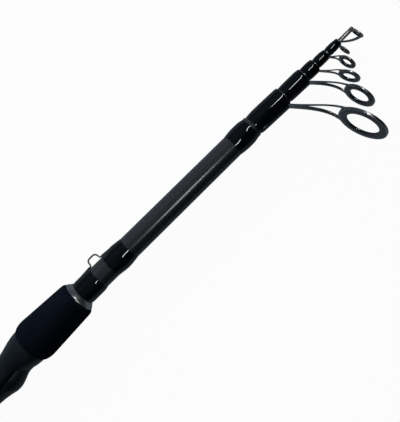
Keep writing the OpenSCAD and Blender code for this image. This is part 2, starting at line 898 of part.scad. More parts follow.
// Foot of a guide, larger by a gap on every side
module guide_foot(n, gap) {
    w = strip_w[n - FIRST] + 2 * gap;
    x0 = wrap_x(n) + foot_cover - gap;
    translate([x0, -w / 2, foot_z(n) - strip_t / 2 - gap])
        cube([bend_x(n) + weld - x0, w, strip_t + 2 * gap]);
}

module section_wrap(n) {
    x0 = wrap_x(n);
    x1 = bend_x(n) - glue_gap;
    r0 = section_r(n, x0) + glue_gap;
    r1 = section_r(n, x1) + glue_gap;
    color(EPOXY)
        difference() {
            union() {
                wrap_ring(x0, x1, r0, r1, section_wrap_t, section_wrap_end);
                turn_to(turn[n - FIRST])
                    wrap_ridge(x0 + ridge_start * section_wrap_end, x1 - weld, r0, r1, section_wrap_t,
                               strip_w[n - FIRST], foot_z(n) + strip_t / 2, foot_cover - section_wrap_end);
            }
            turn_to(turn[n - FIRST])
                guide_foot(n, glue_gap);
        }
}

// Guides

function ring_x(n) = tip_x(n) + reach[n - FIRST];

// Carries what is modelled round Z, with +X towards the rod, to a ring's place and lean
module at_ring(x, z, a) {
    translate([x, 0, z])
        rotate([0, 90 + a, 0])
            children();
}

module at_guide(n) {
    at_ring(ring_x(n), height[n - FIRST], lean[n - FIRST])
        children();
}

// Point at t on the cubic curve from p to q that leaves along u and arrives along v
function cubic(p, u, q, v, t) =
    p * (1 + t * t * (2 * t - 3)) + u * t * (1 - t) * (1 - t) + q * t * t * (3 - 2 * t) - v * t * t * (1 - t);

// Path of one leg: it leaves the foot along the rod, bows towards the tip and runs out along the collar
function leg_path(n, hand) =
    let (
        i = n - FIRST,
        down = [-sin(lean[i]), 0, -cos(lean[i])],
        aside = [0, hand, 0],
        rim = collar_d[i] / 2 - strip_w[i] / 4 - weld,
        p = [bend_x(n) - weld, hand * (strip_w[i] / 4 - weld), foot_z(n)],
        q = [ring_x(n), 0, height[i]] + rim * (cos(leg_turn) * down + sin(leg_turn) * aside),
        chord = norm(q - p),
        u = leg_leave * chord * [1, 0, 0],
        v = leg_arrive * chord * (cos(leg_turn) * aside - sin(leg_turn) * down),
        bow = leg_bow * chord * [cos(lean[i]), 0, -sin(lean[i])]
    )
        [for (k = [0:leg_steps])
            let (t = k / leg_steps)
                cubic(p, u, q, v, t) + bow * sin(180 * t)];

function strip_section(w, t) = [[w, -t] / 2, [w, t] / 2, [-w, t] / 2, [-w, -t] / 2];

function collar_t(t) = t - 2 * ring_proud;

module collar_tube(d, t) {
    difference() {
        cylinder(d = d, h = collar_t(t), center = true);
        cylinder(d = d - 2 * collar_wall, h = collar_t(t) + past, center = true);
    }
}

module guide_frame(n) {
    i = n - FIRST;
    color(GUNMETAL)
        turn_to(turn[i]) {
            guide_foot(n, 0);
            at_guide(n)
                collar_tube(collar_d[i], ring_t[i]);
            difference() {
                for (hand = [-1, 1])
                    swept(leg_path(n, hand), [-cos(lean[i]), 0, sin(lean[i])],
                          strip_section(strip_w[i] / 2, strip_t - weld));
                at_guide(n)
                    cylinder(d = collar_d[i] - collar_wall, h = 3 * strip_t, center = true);
            }
        }
}

// Ring insert with a rounded line hole
module ring_insert(hole, outer, t) {
    h = t / 2;
    round = h - ring_land / 2;
    edge = ring_proud / 2;
    r = outer / 2 - collar_wall - glue_gap;
    bevel = [
        for (k = [0:arc_steps])
            let (a = 90 * k / arc_steps)
                [hole / 2 + round * (1 - cos(a)), ring_land / 2 + round * sin(a)]
    ];
    rotate_extrude()
        polygon(concat(
            bevel,
            [[r - edge, h], [r, h - edge], [r, edge - h], [r - edge, -h]],
            reversed([for (p = bevel) [p[0], -p[1]]])
        ));
}

module guide_ring(n) {
    i = n - FIRST;
    color(CERAMIC)
        turn_to(turn[i])
            at_guide(n)
                ring_insert(hole_d[i], collar_d[i], ring_t[i]);
}

// Tip top

tube_rear = tip_x(LAST) + stop_gap;
tube_front = tube_rear + tube_len;
ring_lead = 1.7;
brace_spread = 12;
brace_bow = 1.7;
tt_ring_x = tube_front + ring_lead;

module tip_top_frame() {
    collar_r = tt_collar_d / 2 - collar_wall / 2;
    up = collar_r * cos(brace_spread);
    side = collar_r * sin(brace_spread);
    far = [tt_ring_x + up * sin(tt_lean), side, tt_height + up * cos(tt_lean)];
    near = [tube_rear + brace_d, tube_d / 4, tube_d / 2 - brace_d / 4];
    bulge = near + (far - near) / 2 + 2 * brace_bow * unit([near[2] - far[2], 0, far[0] - near[0]]);
    brace = [
        for (k = [0:leg_steps])
            let (t = k / leg_steps)
                (1 - t) * (1 - t) * near + 2 * t * (1 - t) * bulge + t * t * far
    ];
    color(GUNMETAL)
        turn_to(tt_turn)
            difference() {
                union() {
                    rod(tube_d, tube_rear, tube_front);
                    at_ring(tt_ring_x, tt_height, tt_lean)
                        collar_tube(tt_collar_d, tt_ring_t);
                    for (s = [0, 1])
                        mirror([0, s, 0])
                            swept(brace, [0, 1, 0], wire_section(brace_d));
                }
                turned([
                    [0, tube_rear - past],
                    [section_r(LAST + 1, tube_rear) + glue_gap, tube_rear - past],
                    [section_r(LAST + 1, tube_rear) + glue_gap, tube_rear],
                    [tip_d / 2 + glue_gap, tip_x(LAST + 1)],
                    [tip_d / 2 + glue_gap, tip_x(LAST + 1) + glue_gap],
                    [0, tip_x(LAST + 1) + glue_gap]
                ]);
                at_ring(tt_ring_x, tt_height, tt_lean)
                    cylinder(d = tt_collar_d - 2 * collar_wall, h = tt_ring_t, center = true);
            }
}

module tip_top_ring() {
    color(CERAMIC)
        turn_to(tt_turn)
            at_ring(tt_ring_x, tt_height, tt_lean)
                ring_insert(tt_hole_d, tt_collar_d, tt_ring_t);
}

butt_blank();
rear_grip();
reel_seat();
moving_hood();
lock_nut();
fore_grip();
winding_check();
keeper_wrap_rear();
keeper_wrap_front();
hook_keeper();
collar_wrap();
butt_bush();
butt_cap();
cap_seal();
cap_pad();
for (n = SECTIONS) {
    section_blank(n);
    section_wrap(n);
    guide_frame(n);
    guide_ring(n);
}
tip_blank();
tip_top_frame();
tip_top_ring();
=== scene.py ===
"""Collapsed telescopic fishing rod: its finished pieces, materials and stage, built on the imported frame."""
import json
import math

import bmesh
import bpy
from bpy.props import FloatProperty, FloatVectorProperty, IntProperty, PointerProperty
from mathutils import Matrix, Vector


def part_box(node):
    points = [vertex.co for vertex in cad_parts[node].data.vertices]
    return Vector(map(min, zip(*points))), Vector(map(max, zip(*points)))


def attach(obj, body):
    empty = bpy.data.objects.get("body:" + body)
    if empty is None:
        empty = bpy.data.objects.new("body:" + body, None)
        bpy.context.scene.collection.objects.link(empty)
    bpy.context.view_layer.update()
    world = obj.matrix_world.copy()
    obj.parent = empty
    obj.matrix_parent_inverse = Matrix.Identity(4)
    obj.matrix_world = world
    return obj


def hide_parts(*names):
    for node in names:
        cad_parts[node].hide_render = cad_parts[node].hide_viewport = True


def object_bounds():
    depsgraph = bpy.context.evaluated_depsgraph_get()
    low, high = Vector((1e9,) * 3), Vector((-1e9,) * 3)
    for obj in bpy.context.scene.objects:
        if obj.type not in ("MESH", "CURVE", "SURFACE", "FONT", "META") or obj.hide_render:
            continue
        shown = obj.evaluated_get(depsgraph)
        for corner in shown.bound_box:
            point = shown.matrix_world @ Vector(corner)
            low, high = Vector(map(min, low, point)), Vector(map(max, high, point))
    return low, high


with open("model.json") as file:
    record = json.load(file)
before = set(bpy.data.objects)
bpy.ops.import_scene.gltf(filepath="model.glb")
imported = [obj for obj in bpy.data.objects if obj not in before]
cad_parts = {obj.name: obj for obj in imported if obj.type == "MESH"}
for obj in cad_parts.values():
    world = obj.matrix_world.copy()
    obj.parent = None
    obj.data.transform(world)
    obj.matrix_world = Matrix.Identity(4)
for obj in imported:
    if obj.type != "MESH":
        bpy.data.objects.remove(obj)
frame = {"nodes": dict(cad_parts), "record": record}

bl_info = {
    "name": "Telescopic fishing rod",
    "version": (1, 0, 0),
    "blender": (4, 5, 0),
    "location": "View3D > Sidebar > Rod",
    "description": "Dresses the rod's frame with its finished pieces and a white studio",
    "category": "Add Mesh",
}

CAD_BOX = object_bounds()
MM = 0.001
TAU = 2 * math.pi
ORIGIN = Vector((0, 0, 0))
ALONG = Vector((1, 0, 0))
KEEPER_SIDE = Vector((0, 1, 0))
GUIDES = range(1, 6)
# Cells in one repeat of the carbon twill
TWILL = 4
# Facets added round a piece that isn't quite round
MORE_SIDES = 32
# Share of the wire's thickness left at the ground ends of the keeper's feet
KEEPER_FOOT = 0.45
# Rear taper and front taper of each wrap on the butt blank, and the share of its thickness at its ends
BUTT_WRAPS = {
    "keeper_wrap_rear": (2 * MM, 4 * MM, 0.15),
    "keeper_wrap_front": (9 * MM, 9 * MM, 0.1),
    "collar_wrap": (7 * MM, 5 * MM, 0.1),
}
MOUNTS = {mount["name"]: mount for mount in frame["record"]["mounts"]}


# Sizes and colours


def length(name, description, value_mm):
    """A size property, with its default given in millimetres."""
    return FloatProperty(name=name, description=description, default=value_mm * MM, unit="LENGTH",
                         precision=5)


def lengths(name, description, *values_mm):
    """Sizes or places, such as one for each guide, with the defaults given in millimetres."""
    defaults = [value * MM for value in values_mm]
    return FloatVectorProperty(name=name, description=description, size=len(defaults), default=defaults,
                               unit="LENGTH", precision=5)


def amount(name, description, value):
    """A plain number property."""
    return FloatProperty(name=name, description=description, default=value)


def shares(name, description, *values):
    """A share for each guide, guide 1 first."""
    return FloatVectorProperty(name=name, description=description, size=len(values), default=values)


def angle(name, description, degrees):
    """An angle property, with its default given in degrees."""
    return FloatProperty(name=name, description=description, default=math.radians(degrees), subtype="ANGLE")


def colour(name, description, *value):
    """A colour property in linear light."""
    return FloatVectorProperty(name=name, description=description, subtype="COLOR", size=3, default=value,
                               min=0, max=1)


class RodSizes(bpy.types.PropertyGroup):
    """Sizes of the finished pieces that the frame does not give."""

    sides: IntProperty(name="Sides", description="Facets round a turned piece", default=96, min=24, max=160)
    weave: length("Carbon cell", "Width of one tow in the carbon cloth", 0.9)
    thread: length("Wrap thread", "Pitch of the thread under the epoxy", 0.3)
    glue: length("Glue film", "Gap between fixed pieces", 0.05)
    section_wraps: lengths("Section wraps", "Thickness of each section's wrap", 0.62, 0.3, 0.24, 0.47, 0.46)
    section_rears: lengths("Section wrap rears", "Rear taper of each section's wrap", 7, 4, 4, 3.5, 3.5)
    section_fronts: lengths("Section wrap fronts", "Front taper of each section's wrap", 22, 2.5, 2.5, 3, 5)
    section_skirts: lengths("Section skirts", "Spread of each section's wrap beside its guide's foot",
                            2.2, 2.2, 0.9, 0.9, 0.9)
    section_lips: shares("Section wrap lips", "Share of each section wrap's thickness at its ends",
                         0.3, 0.12, 0.12, 0.12, 0.12)
    section_stop: length("Section wrap stop", "Bare tip of a section in front of its wrap", 0.7)
    collar_wrap: length("Collar wrap", "Thickness of the wrap at the butt blank's tip", 0.76)
    collar_stop: length("Collar wrap stop", "Bare tip of the butt blank in front of its wrap", 2)
    rear_wrap: length("Rear keeper wrap", "Thickness of the wrap on the keeper's rear foot", 0.66)
    front_wrap: length("Front keeper wrap", "Thickness of the wrap on the keeper's front foot", 0.92)
    foot_covers: lengths("Foot covers", "Epoxy above each guide's foot where its legs come out",
                         1.15, 0.75, 0.14, 0.12, 0.1)
    foot_cover: length("Foot cover", "Epoxy above the hidden end of a foot", 0.12)
    keeper_taper: length("Keeper taper", "Length over which the keeper's feet are ground down", 8)
    keeper_leg: length("Keeper leg", "Distance of each leg's base from the end of its wrap", 1.3)
    keeper_lean: length("Keeper lean", "How far each leg of the hook keeper leans in", 0.7)
    keeper_base: length("Keeper base", "Wire taken up by a bend at a leg's base", 0.9)
    keeper_bend: length("Keeper bend", "Wire taken up by a bend at the top of the loop", 2.2)
    feet: lengths("Guide feet", "Thickness of each guide's foot", 0.9, 0.75, 0.4, 0.35, 0.3)
    legs: lengths("Guide legs", "Thickness of each guide's legs", 1.1, 1, 0.8, 0.75, 0.7)
    strip_widths: lengths("Strip widths", "Width of each guide's foot", 4.6, 3.4, 2.5, 2.1, 1.8)
    collars: lengths("Collars", "Outside radius of each guide's collar", 16.4, 10.5, 7.45, 6.1, 4.3)
    inserts: lengths("Inserts", "Thickness of each guide's ring insert", 2.4, 2.1, 1.9, 1.8, 1.7)
    emerge: lengths("Leg starts", "How far behind its section's tip each guide's legs start",
                    3, 1.7, 0.7, 0.5, 0.5)
    collar_wall: length("Collar wall", "Wall of a collar round its insert", 0.8)
    insert_proud: length("Insert proud", "How far an insert stands out of its collar", 0.3)
    collar_lip: length("Collar lip", "Thickness of the lips that hold an insert in its collar", 0.25)
    tip_collar: length("Tip collar", "Outside radius of the tip top's collar", 4.8)
    tip_insert: length("Tip insert", "Thickness of the tip top's insert", 1.8)
    tip_tube: length("Tip tube", "Outside radius of the tip top's tube", 1.5)
    tip_lead: length("Tip lead", "Distance of the tip ring's centre from its tube", 1.7)
    brace: length("Tip brace", "Diameter of the tip top's brace wires", 1)
    brace_bow: length("Brace bow", "How far the tip top's braces bulge", 2.2)
    barrel: length("Barrel", "Radius of the reel seat's threaded barrel", 11)
    bed: length("Bed", "Distance of the reel's bed from the rod's axis", 9.4)
    neck: length("Neck", "Radius of the reel seat's neck", 9.4)
    flare: length("Flare length", "Length of the reel seat's flare", 20)
    mouth_back: length("Mouth", "Distance of the fixed hood's mouth from the seat's front end", 44)
    pocket: length("Pocket", "Depth of the fixed hood's pocket", 23)
    hood: length("Hood length", "Length of the fixed hood", 33)
    hood_mouth: length("Hood mouth", "Height of a hood's mouth above the axis", 13.8)
    hood_crest: length("Hood crest", "Height of a hood's crest above the axis", 15.9)
    hood_root: length("Hood root", "Height of a hood's root above the axis", 12.1)
    hood_wall: length("Hood wall", "Wall of the hoods", 1.5)
    sleeve: length("Sleeve", "Length of the moving hood's sleeve", 13)
    sleeve_radius: length("Sleeve radius", "Outside radius of the moving hood's sleeve", 13)
    thread_gap: length("Thread gap", "Radial gap of a turning thread", 0.09)
    pitch: length("Screw pitch", "Pitch of the seat's and the cap's threads", 2)
    nut_ribs: IntProperty(name="Nut ribs", description="Ribs round the lock nut", default=16, min=8, max=32)
    cap_ribs: IntProperty(name="Cap ribs", description="Ribs round the butt cap", default=20, min=8, max=36)
    rib_rise: length("Rib rise", "How far the ribs stand out", 0.6)
    screw: length("Cap screw", "Radius of the butt cap's screw", 6.5)
    screw_wall: length("Screw wall", "Wall of the butt cap's hollow screw", 1.3)
    pad_pocket: length("Pad pocket", "Depth of the pad's pocket in the butt cap", 5)


class RodColours(bpy.types.PropertyGroup):
    """Colours of the finishes, in linear light."""

    # Painted light: the twill's tows are painted in a lit tone (carbon) and a shaded tone (carbon shade).
    carbon: colour("Carbon", "Lit tows of the carbon cloth", 0.026, 0.0305, 0.036)
    carbon_dark: colour("Carbon shade", "Tows that lie across the light", 0.0212, 0.025, 0.0296)
    epoxy: colour("Epoxy", "Black thread under the epoxy", 0.0022, 0.003, 0.0048)
    foam: colour("Foam", "Closed-cell grip foam", 0.0038, 0.006, 0.0112)
    foam_worn: colour("Worn foam", "Foam where hands have rubbed it", 0.0052, 0.0078, 0.0138)
    gunmetal: colour("Gunmetal", "Satin trim metal", 0.5, 0.51, 0.515)
    steel: colour("Steel", "Brushed steel of the tip top", 0.6, 0.6, 0.595)
    frame_metal: colour("Frame metal", "Plating of the guide frames", 0.255, 0.25, 0.25)
    ceramic: colour("Ceramic", "Polished ring inserts", 0.0035, 0.0038, 0.0048)
    seat: colour("Seat", "Moulded reel seat", 0.0076, 0.0112, 0.0178)
    cap: colour("Cap", "Moulded butt cap", 0.0125, 0.013, 0.0145)
    rubber: colour("Rubber", "Seal and pad", 0.012, 0.012, 0.013)


class RodStage(bpy.types.PropertyGroup):
    """Camera, lamps and floor."""

    camera: lengths("Camera", "Place of the camera, which looks straight down", 444.7, -15.63, 360)
    camera_turn: angle("Camera turn", "Turn of the camera about the vertical", -44.55)
    lens: amount("Lens", "Focal length in millimetres", 48.6)
    sensor: amount("Sensor", "Width of the camera's sensor in millimetres", 36)
    key: amount("Key", "Brightness of the side lamp", 3.4)
    key_rise: angle("Key rise", "Angle of the side lamp above the floor", 30)
    key_distance: length("Key distance", "Distance of the side lamp from the rod", 1130)
    key_length: length("Key length", "Length of the side lamp", 1600)
    key_width: length("Key width", "Width of the side lamp", 800)
    lamp_height: length("Lamp height", "Height of the overhead panel and strips above the rod", 600)
    strip: amount("Strip", "Brightness of the strips in gloss", 22)
    strip_place: lengths("Strip place", "Middle of the bright strips in plan", 530, -95)
    strip_turn: angle("Strip turn", "Turn of the strips and panel about the vertical", 38.5)
    strip_rear: length("Strip rear", "Distance of the rear strip's far end from the middle", 170)
    strip_front: length("Strip front", "Distance of the front strip's far end from the middle", 530)
    strip_gap: lengths("Strip gap", "Dark gap between the two strips, from the middle", -35, 220)
    strip_width: length("Strip width", "Width of the bright strips", 42)
    panel: amount("Panel", "Brightness of the overhead panel in gloss", 0.075)
    panel_tint: colour("Panel tint", "Colour of the overhead panel", 0.55, 0.8, 1)
    panel_length: length("Panel length", "Length of the overhead panel, whose edge is the strips", 2400)
    panel_width: length("Panel width", "Width of the overhead panel", 1600)
    fill: amount("Fill", "Strength of the light from all round", 0.06)
    horizon: amount("Horizon", "Brightness of the floor in gloss", 0.2)
    wall: amount("Wall", "Brightness in gloss of the wall on the keeper's side", 0.08)
    room: amount("Room", "Brightness in gloss of the rest of the room", 0.02)
    room_tint: colour("Room tint", "Colour of the floor and the wall in gloss", 0.68, 0.82, 1)
    floor: colour("Floor", "Pale floor", 0.9, 0.9, 0.9)


def sizes():
    return bpy.context.scene.rod_sizes


def colours():
    return bpy.context.scene.rod_colours


# Places in the frame


def low(node):
    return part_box(node)[0]


def high(node):
    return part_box(node)[1]


def turned_outline(node):
    """Outer and inner outlines of a node turned about the rod's axis, as (x, radius) from the rear."""
    mesh = frame["nodes"][node].data
    outer = {}
    inner = {}
    for face in mesh.polygons:
        for index in face.vertices:
            place = mesh.vertices[index].co
            radius = math.hypot(place.y, place.z)
            outward = face.normal.y * place.y + face.normal.z * place.z
            if abs(outward) > 0.01 * radius:
                side = outer if outward > 0 else inner
                side[round(place.x, 6)] = radius
    return sorted(outer.items()), sorted(inner.items())


def lookup(outline, x):
    """Radius of an outline at x."""
    before = outline[0]
    for after in outline:
        if after[0] >= x:
            if after[0] == before[0]:
                return after[1]
            share = (x - before[0]) / (after[0] - before[0])
            return before[1] + share * (after[1] - before[1])
        before = after
    return before[1]


class RingSeat:
    """Place of a line ring: its centre, its axis towards the butt and the directions in its plane."""

    def __init__(self, guide):
        mount = MOUNTS[guide + "_line_hole"]
        axis = Vector(mount["axis"])
        self.centre = Vector(mount["pos_m"])
        self.axis = axis if axis.x < 0 else -axis
        height = math.hypot(self.centre.y, self.centre.z)
        self.radial = Vector((0, self.centre.y, self.centre.z)) / height
        self.down = (self.axis * self.radial.dot(self.axis) - self.radial).normalized()
        self.side = self.axis.cross(self.down)
        self.hole = mount["dims"]["r_mm"] * MM

    def at(self, down, side, out=0.0):
        """A point in the ring's plane, or off it towards the butt."""
        return self.centre + self.down * down + self.side * side + self.axis * out

    def turn(self, work, outline):
        """Adds a ring to a bmesh, turned about the seat's axis from an outline of (out, radius)."""
        skin(work, round_the_rod(outline, sizes().sides, self.centre, self.axis, self.down), joined=True)


# Meshes


def spread(first, last, steps):
    """Evenly spaced values from first to last, both included."""
    return [first + (last - first) * i / steps for i in range(steps + 1)]


def eased(outline, steps=4, corner=math.radians(35)):
    """An outline with its gentle bends drawn as smooth curves, and its sharp corners kept."""
    points = [Vector(point) for point in outline]
    runs = [b - a for a, b in zip(points, points[1:])]
    tangents = []
    for i in range(len(points)):
        before = runs[i - 1] if i > 0 else runs[0]
        after = runs[i] if i < len(runs) else runs[-1]
        if before.angle(after, 0) > corner:
            tangents.append((before.normalized(), after.normalized()))
        else:
            along = before * before.length + after * after.length
            tangents.append((along.normalized(), along.normalized()))
    smooth = []
    for i, run in enumerate(runs):
        for k in range(steps):
            leaving = tangents[i][1] * run.length
            arriving = tangents[i + 1][0] * run.length
            smooth.append(tuple(curve_point(points[i], leaving, points[i + 1], arriving, k / steps)))
    smooth.append(tuple(points[-1]))
    return smooth


def curve_point(start, leaving, end, arriving, t):
    """Point at t on the cubic curve between two points with given tangents."""
    a = 2 * t ** 3 - 3 * t ** 2 + 1
    b = t ** 3 - 2 * t ** 2 + t
    c = 3 * t ** 2 - 2 * t ** 3
    d = t ** 3 - t ** 2
    return start * a + leaving * b + end * c + arriving * d


def bent(start, corner, end, t):
    """Point at t on the curve that leaves its start towards a corner and comes to its end from there."""
    return start * (1 - t) ** 2 + corner * 2 * t * (1 - t) + end * t ** 2


def round_the_rod(outline, sides, centre=ORIGIN, axis=ALONG, first=KEEPER_SIDE):
    """Rings of points, one for each (place along the axis, radius) of an outline."""
    second = axis.cross(first)
    turns = [(math.cos(TAU * k / sides), math.sin(TAU * k / sides)) for k in range(sides)]
    return [[centre + axis * x + (first * c + second * s) * r for c, s in turns] for x, r in outline]


def skin(mesh, rings, joined=False, capped=False):
    """Adds the surface through equal rings of points to a bmesh, with a UV in metres round and along it."""
    uv = mesh.loops.layers.uv.verify()
    cell = sizes().weave
    rows = [[mesh.verts.new(point) for point in ring] for ring in rings]
    count = len(rings[0])
    girth = sum((rings[0][k] - rings[0][k - 1]).length for k in range(count))
    girth = max(TWILL, TWILL * round(girth / cell / TWILL)) * cell
    along = 0.0
    pairs = list(zip(rows, rows[1:]))
    if joined:
        pairs.append((rows[-1], rows[0]))
    for row, following in pairs:
        step = (following[0].co - row[0].co).length
        for k in range(count):
            after = (k + 1) % count
            face = mesh.faces.new((row[k], row[after], following[after], following[k]))
            face.smooth = True
            corners = ((k, 0), (k + 1, 0), (k + 1, step), (k, step))
            for loop, (turn, rise) in zip(face.loops, corners):
                loop[uv].uv = (girth * turn / count, along + rise)
        along += step
    if capped:
        mesh.faces.new(reversed(rows[0]))
        mesh.faces.new(rows[-1])


def rounded_strip(width, thickness, corner, steps=3):
    """Outline of a flat strip with rounded edges, as (across, through)."""
    points = []
    for quarter in range(4):
        across = (width / 2 - corner) * (1 if quarter in (0, 3) else -1)
        through = (thickness / 2 - corner) * (1 if quarter < 2 else -1)
        for k in range(steps + 1):
            angle = (quarter + k / steps) * math.pi / 2
            points.append((across + corner * math.cos(angle), through + corner * math.sin(angle)))
    return points


def rolled_edge(roll, steps=5):
    """A rounded edge as (way in from the end face, drop from the outside), starting on the end face."""
    angles = spread(0, math.pi / 2, steps)
    return [(roll * (1 - math.cos(a)), roll * (1 - math.sin(a))) for a in angles]


def ringed_outline(rear, front, radius, bore, roll):
    """Outline of a ring with rounded edges and a bore."""
    edge = rolled_edge(roll)
    outline = [(rear, bore)]
    outline += [(rear + way, radius - drop) for way, drop in edge]
    outline += [(front - way, radius - drop) for way, drop in edge[::-1]]
    return outline + [(front, bore)]


def strip_rings(path, facings, sections):
    """Rings of a strip's sections along a path, with its flat side turned to the facing directions."""
    rings = []
    last = len(path) - 1
    for i, point in enumerate(path):
        forward = (path[min(i + 1, last)] - path[max(i - 1, 0)]).normalized()
        thick = (facings[i] - forward * facings[i].dot(forward)).normalized()
        wide = thick.cross(forward)
        rings.append([point + wide * a + thick * t for a, t in sections[i]])
    return rings


def mesh_from(name, build):
    """A mesh made by a function that fills a bmesh, with doubles merged and faces outwards."""
    work = bmesh.new()
    build(work)
    bmesh.ops.remove_doubles(work, verts=work.verts, dist=1e-6)
    bmesh.ops.recalc_face_normals(work, faces=work.faces)
    mesh = bpy.data.meshes.new(name)
    work.to_mesh(mesh)
    work.free()
    return mesh


def turned_mesh(name, outline, joined=True):
    """A mesh turned about the rod's axis from an outline of (x, radius)."""
    return mesh_from(name, lambda work: skin(work, round_the_rod(outline, sizes().sides), joined=joined))


def piece(name, mesh, material, body, slot, *nodes, sharp=35):
    """A finished piece: its object, material, body and the CAD nodes it stands for; the slot is not used."""
    mesh.materials.clear()
    mesh.materials.append(material)
    mesh.shade_smooth()
    mesh.set_sharp_from_angle(angle=math.radians(sharp))
    made = bpy.data.objects.new(name, mesh)
    bpy.context.scene.collection.objects.link(made)
    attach(made, body)
    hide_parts(*nodes)
    return made


# Geometry Nodes


class Tree:
    """A Geometry Nodes tree under construction, with named inputs."""

    def __init__(self, name, **inputs):
        self.group = bpy.data.node_groups.new(name, "GeometryNodeTree")
        sockets = self.group.interface
        sockets.new_socket("Geometry", in_out="INPUT", socket_type="NodeSocketGeometry")
        self.identifiers = {}
        for label, kind in inputs.items():
            title = label.replace("_", " ").capitalize()
            socket = sockets.new_socket(title, in_out="INPUT", socket_type="NodeSocket" + kind)
            self.identifiers[label] = socket.identifier
        sockets.new_socket("Geometry", in_out="OUTPUT", socket_type="NodeSocketGeometry")
        self.given = self.group.nodes.new("NodeGroupInput")
        self.result = self.group.nodes.new("NodeGroupOutput")

    def value(self, label):
        """The output of the group's input node for a named input."""
        return next(s for s in self.given.outputs if s.identifier == self.identifiers[label])

    def add(self, kind, *links, **settings):
        """A node, with its inputs linked or set in order. None leaves an input as it is."""
        node = self.group.nodes.new(kind)
        for key, setting in settings.items():
            setattr(node, key, setting)
        for socket, value in zip([s for s in node.inputs if s.enabled], links):
            if isinstance(value, bpy.types.NodeSocket):
                self.group.links.new(value, socket)
            elif value is not None:
                socket.default_value = value
        return node.outputs[0]

    def math(self, operation, *values):
        return self.add("ShaderNodeMath", *values, operation=operation)

    def vector(self, *values):
        return self.add("ShaderNodeCombineXYZ", *values)

    def stand(self, geometry):
        """Geometry made round Z, laid along the rod from the tree's start."""
        start = self.vector(self.value("start"))
        return self.add("GeometryNodeTransform", geometry, start, (0, math.pi / 2, 0))

    def join(self, *geometries):
        """Several geometries as one."""
        node = self.group.nodes.new("GeometryNodeJoinGeometry")
        for geometry in geometries:
            self.group.links.new(geometry, node.inputs[0])
        return node.outputs[0]

    def end(self, geometry):
        """Realizes the instances, sets the material and ends the tree."""
        plain = self.add("GeometryNodeRealizeInstances", geometry)
        dressed = self.add("GeometryNodeSetMaterial", plain, None, self.value("material"))
        self.group.links.new(dressed, self.result.inputs[0])

    def apply(self, name, data, **values):
        """The plain mesh that the tree makes from a mesh or a curve."""
        carrier = bpy.data.objects.new(name + "_carrier", data)
        bpy.context.scene.collection.objects.link(carrier)
        modifier = carrier.modifiers.new("nodes", "NODES")
        modifier.node_group = self.group
        for label, value in values.items():
            modifier[self.identifiers[label]] = value
        bpy.context.view_layer.update()
        evaluated = carrier.evaluated_get(bpy.context.evaluated_depsgraph_get())
        mesh = bpy.data.meshes.new_from_object(evaluated)
        carrier.modifiers.remove(modifier)
        bpy.data.objects.remove(carrier)
        if not mesh.polygons:
            raise RuntimeError(name + ": the nodes made no faces")
        mesh.name = name
        return mesh


def wire_tree():
    """A round wire along each spline of a curve, ground down to a share of its thickness at both ends."""
    tree = Tree("bent_wire", diameter="Float", sides="Int", taper="Float", end="Float", material="Material")
    radius = tree.math("MULTIPLY", tree.value("diameter"), 0.5)
    profile = tree.add("GeometryNodeCurvePrimitiveCircle", tree.value("sides"), radius)
    gone = tree.group.nodes.new("GeometryNodeSplineParameter").outputs["Length"]
    whole = tree.add("GeometryNodeSplineLength")
    near = tree.math("MINIMUM", gone, tree.math("SUBTRACT", whole, gone))
    scale = tree.add("ShaderNodeMapRange", near, 0.0, tree.value("taper"), tree.value("end"), 1.0)
    wire = tree.add("GeometryNodeCurveToMesh", tree.given.outputs[0], profile, scale, True)
    tree.end(wire)
    return tree


def rib_tree():
    """Round-ended ribs set evenly round the rod's axis, added to the piece that carries them."""
    tree = Tree("finger_ribs", count="Int", radius="Float", start="Float", length="Float", width="Float",
                material="Material")
    points = 17
    sides = 14
    squareness = 8.0
    stop = tree.vector(tree.value("length"))
    line = tree.add("GeometryNodeCurvePrimitiveLine", None, stop)
    fine = tree.add("GeometryNodeResampleCurve", line, None, points)
    share = tree.add("GeometryNodeSplineParameter")
    centred = tree.math("ABSOLUTE", tree.math("MULTIPLY_ADD", share, 2.0, -1.0))
    fall = tree.math("SUBTRACT", 1.0, tree.math("POWER", centred, squareness))
    swell = tree.math("SQRT", tree.math("MAXIMUM", fall, 0.0))
    radius = tree.math("MULTIPLY", tree.value("width"), 0.5)
    profile = tree.add("GeometryNodeCurvePrimitiveCircle", sides, radius)
    rib = tree.add("GeometryNodeCurveToMesh", fine, profile, swell, True)
    ring = tree.add("GeometryNodeMeshCircle", tree.value("count"), tree.value("radius"))
    ribs = tree.add("GeometryNodeInstanceOnPoints", tree.stand(ring), None, rib)
    tree.end(tree.join(ribs, tree.given.outputs[0]))
    return tree


def thread_tree():
    """A screw thread round the rod's axis, pressed flat at a bed, added to the piece that carries it."""
    tree = Tree("screw_thread", turns="Float", radius="Float", start="Float", length="Float", ridge="Float",
                bed="Float", material="Material")
    points = 72
    sides = 8
    spiral = tree.add("GeometryNodeCurveSpiral", points, tree.value("turns"), tree.value("radius"),
                      tree.value("radius"), tree.value("length"))
    half = tree.math("MULTIPLY", tree.value("ridge"), 0.5)
    profile = tree.add("GeometryNodeCurvePrimitiveCircle", sides, half)
    ridge = tree.add("GeometryNodeCurveToMesh", tree.stand(spiral), profile, None, True)
    position = tree.add("GeometryNodeInputPosition")
    parts = tree.group.nodes.new("ShaderNodeSeparateXYZ")
    tree.group.links.new(position, parts.inputs[0])
    kept = tree.math("MAXIMUM", parts.outputs[1], tree.math("MULTIPLY", tree.value("bed"), -1.0))
    flat = tree.vector(parts.outputs[0], kept, parts.outputs[2])
    pressed = tree.add("GeometryNodeSetPosition", ridge, None, flat)
    tree.end(tree.join(pressed, tree.given.outputs[0]))
    return tree


def path_curve(name, *paths):
    """A curve of straight runs through lists of points."""
    data = bpy.data.curves.new(name, "CURVE")
    data.dimensions = "3D"
    for path in paths:
        spline = data.splines.new("POLY")
        spline.points.add(len(path) - 1)
        for point, place in zip(spline.points, path):
            point.co = (*place, 1)
    return data


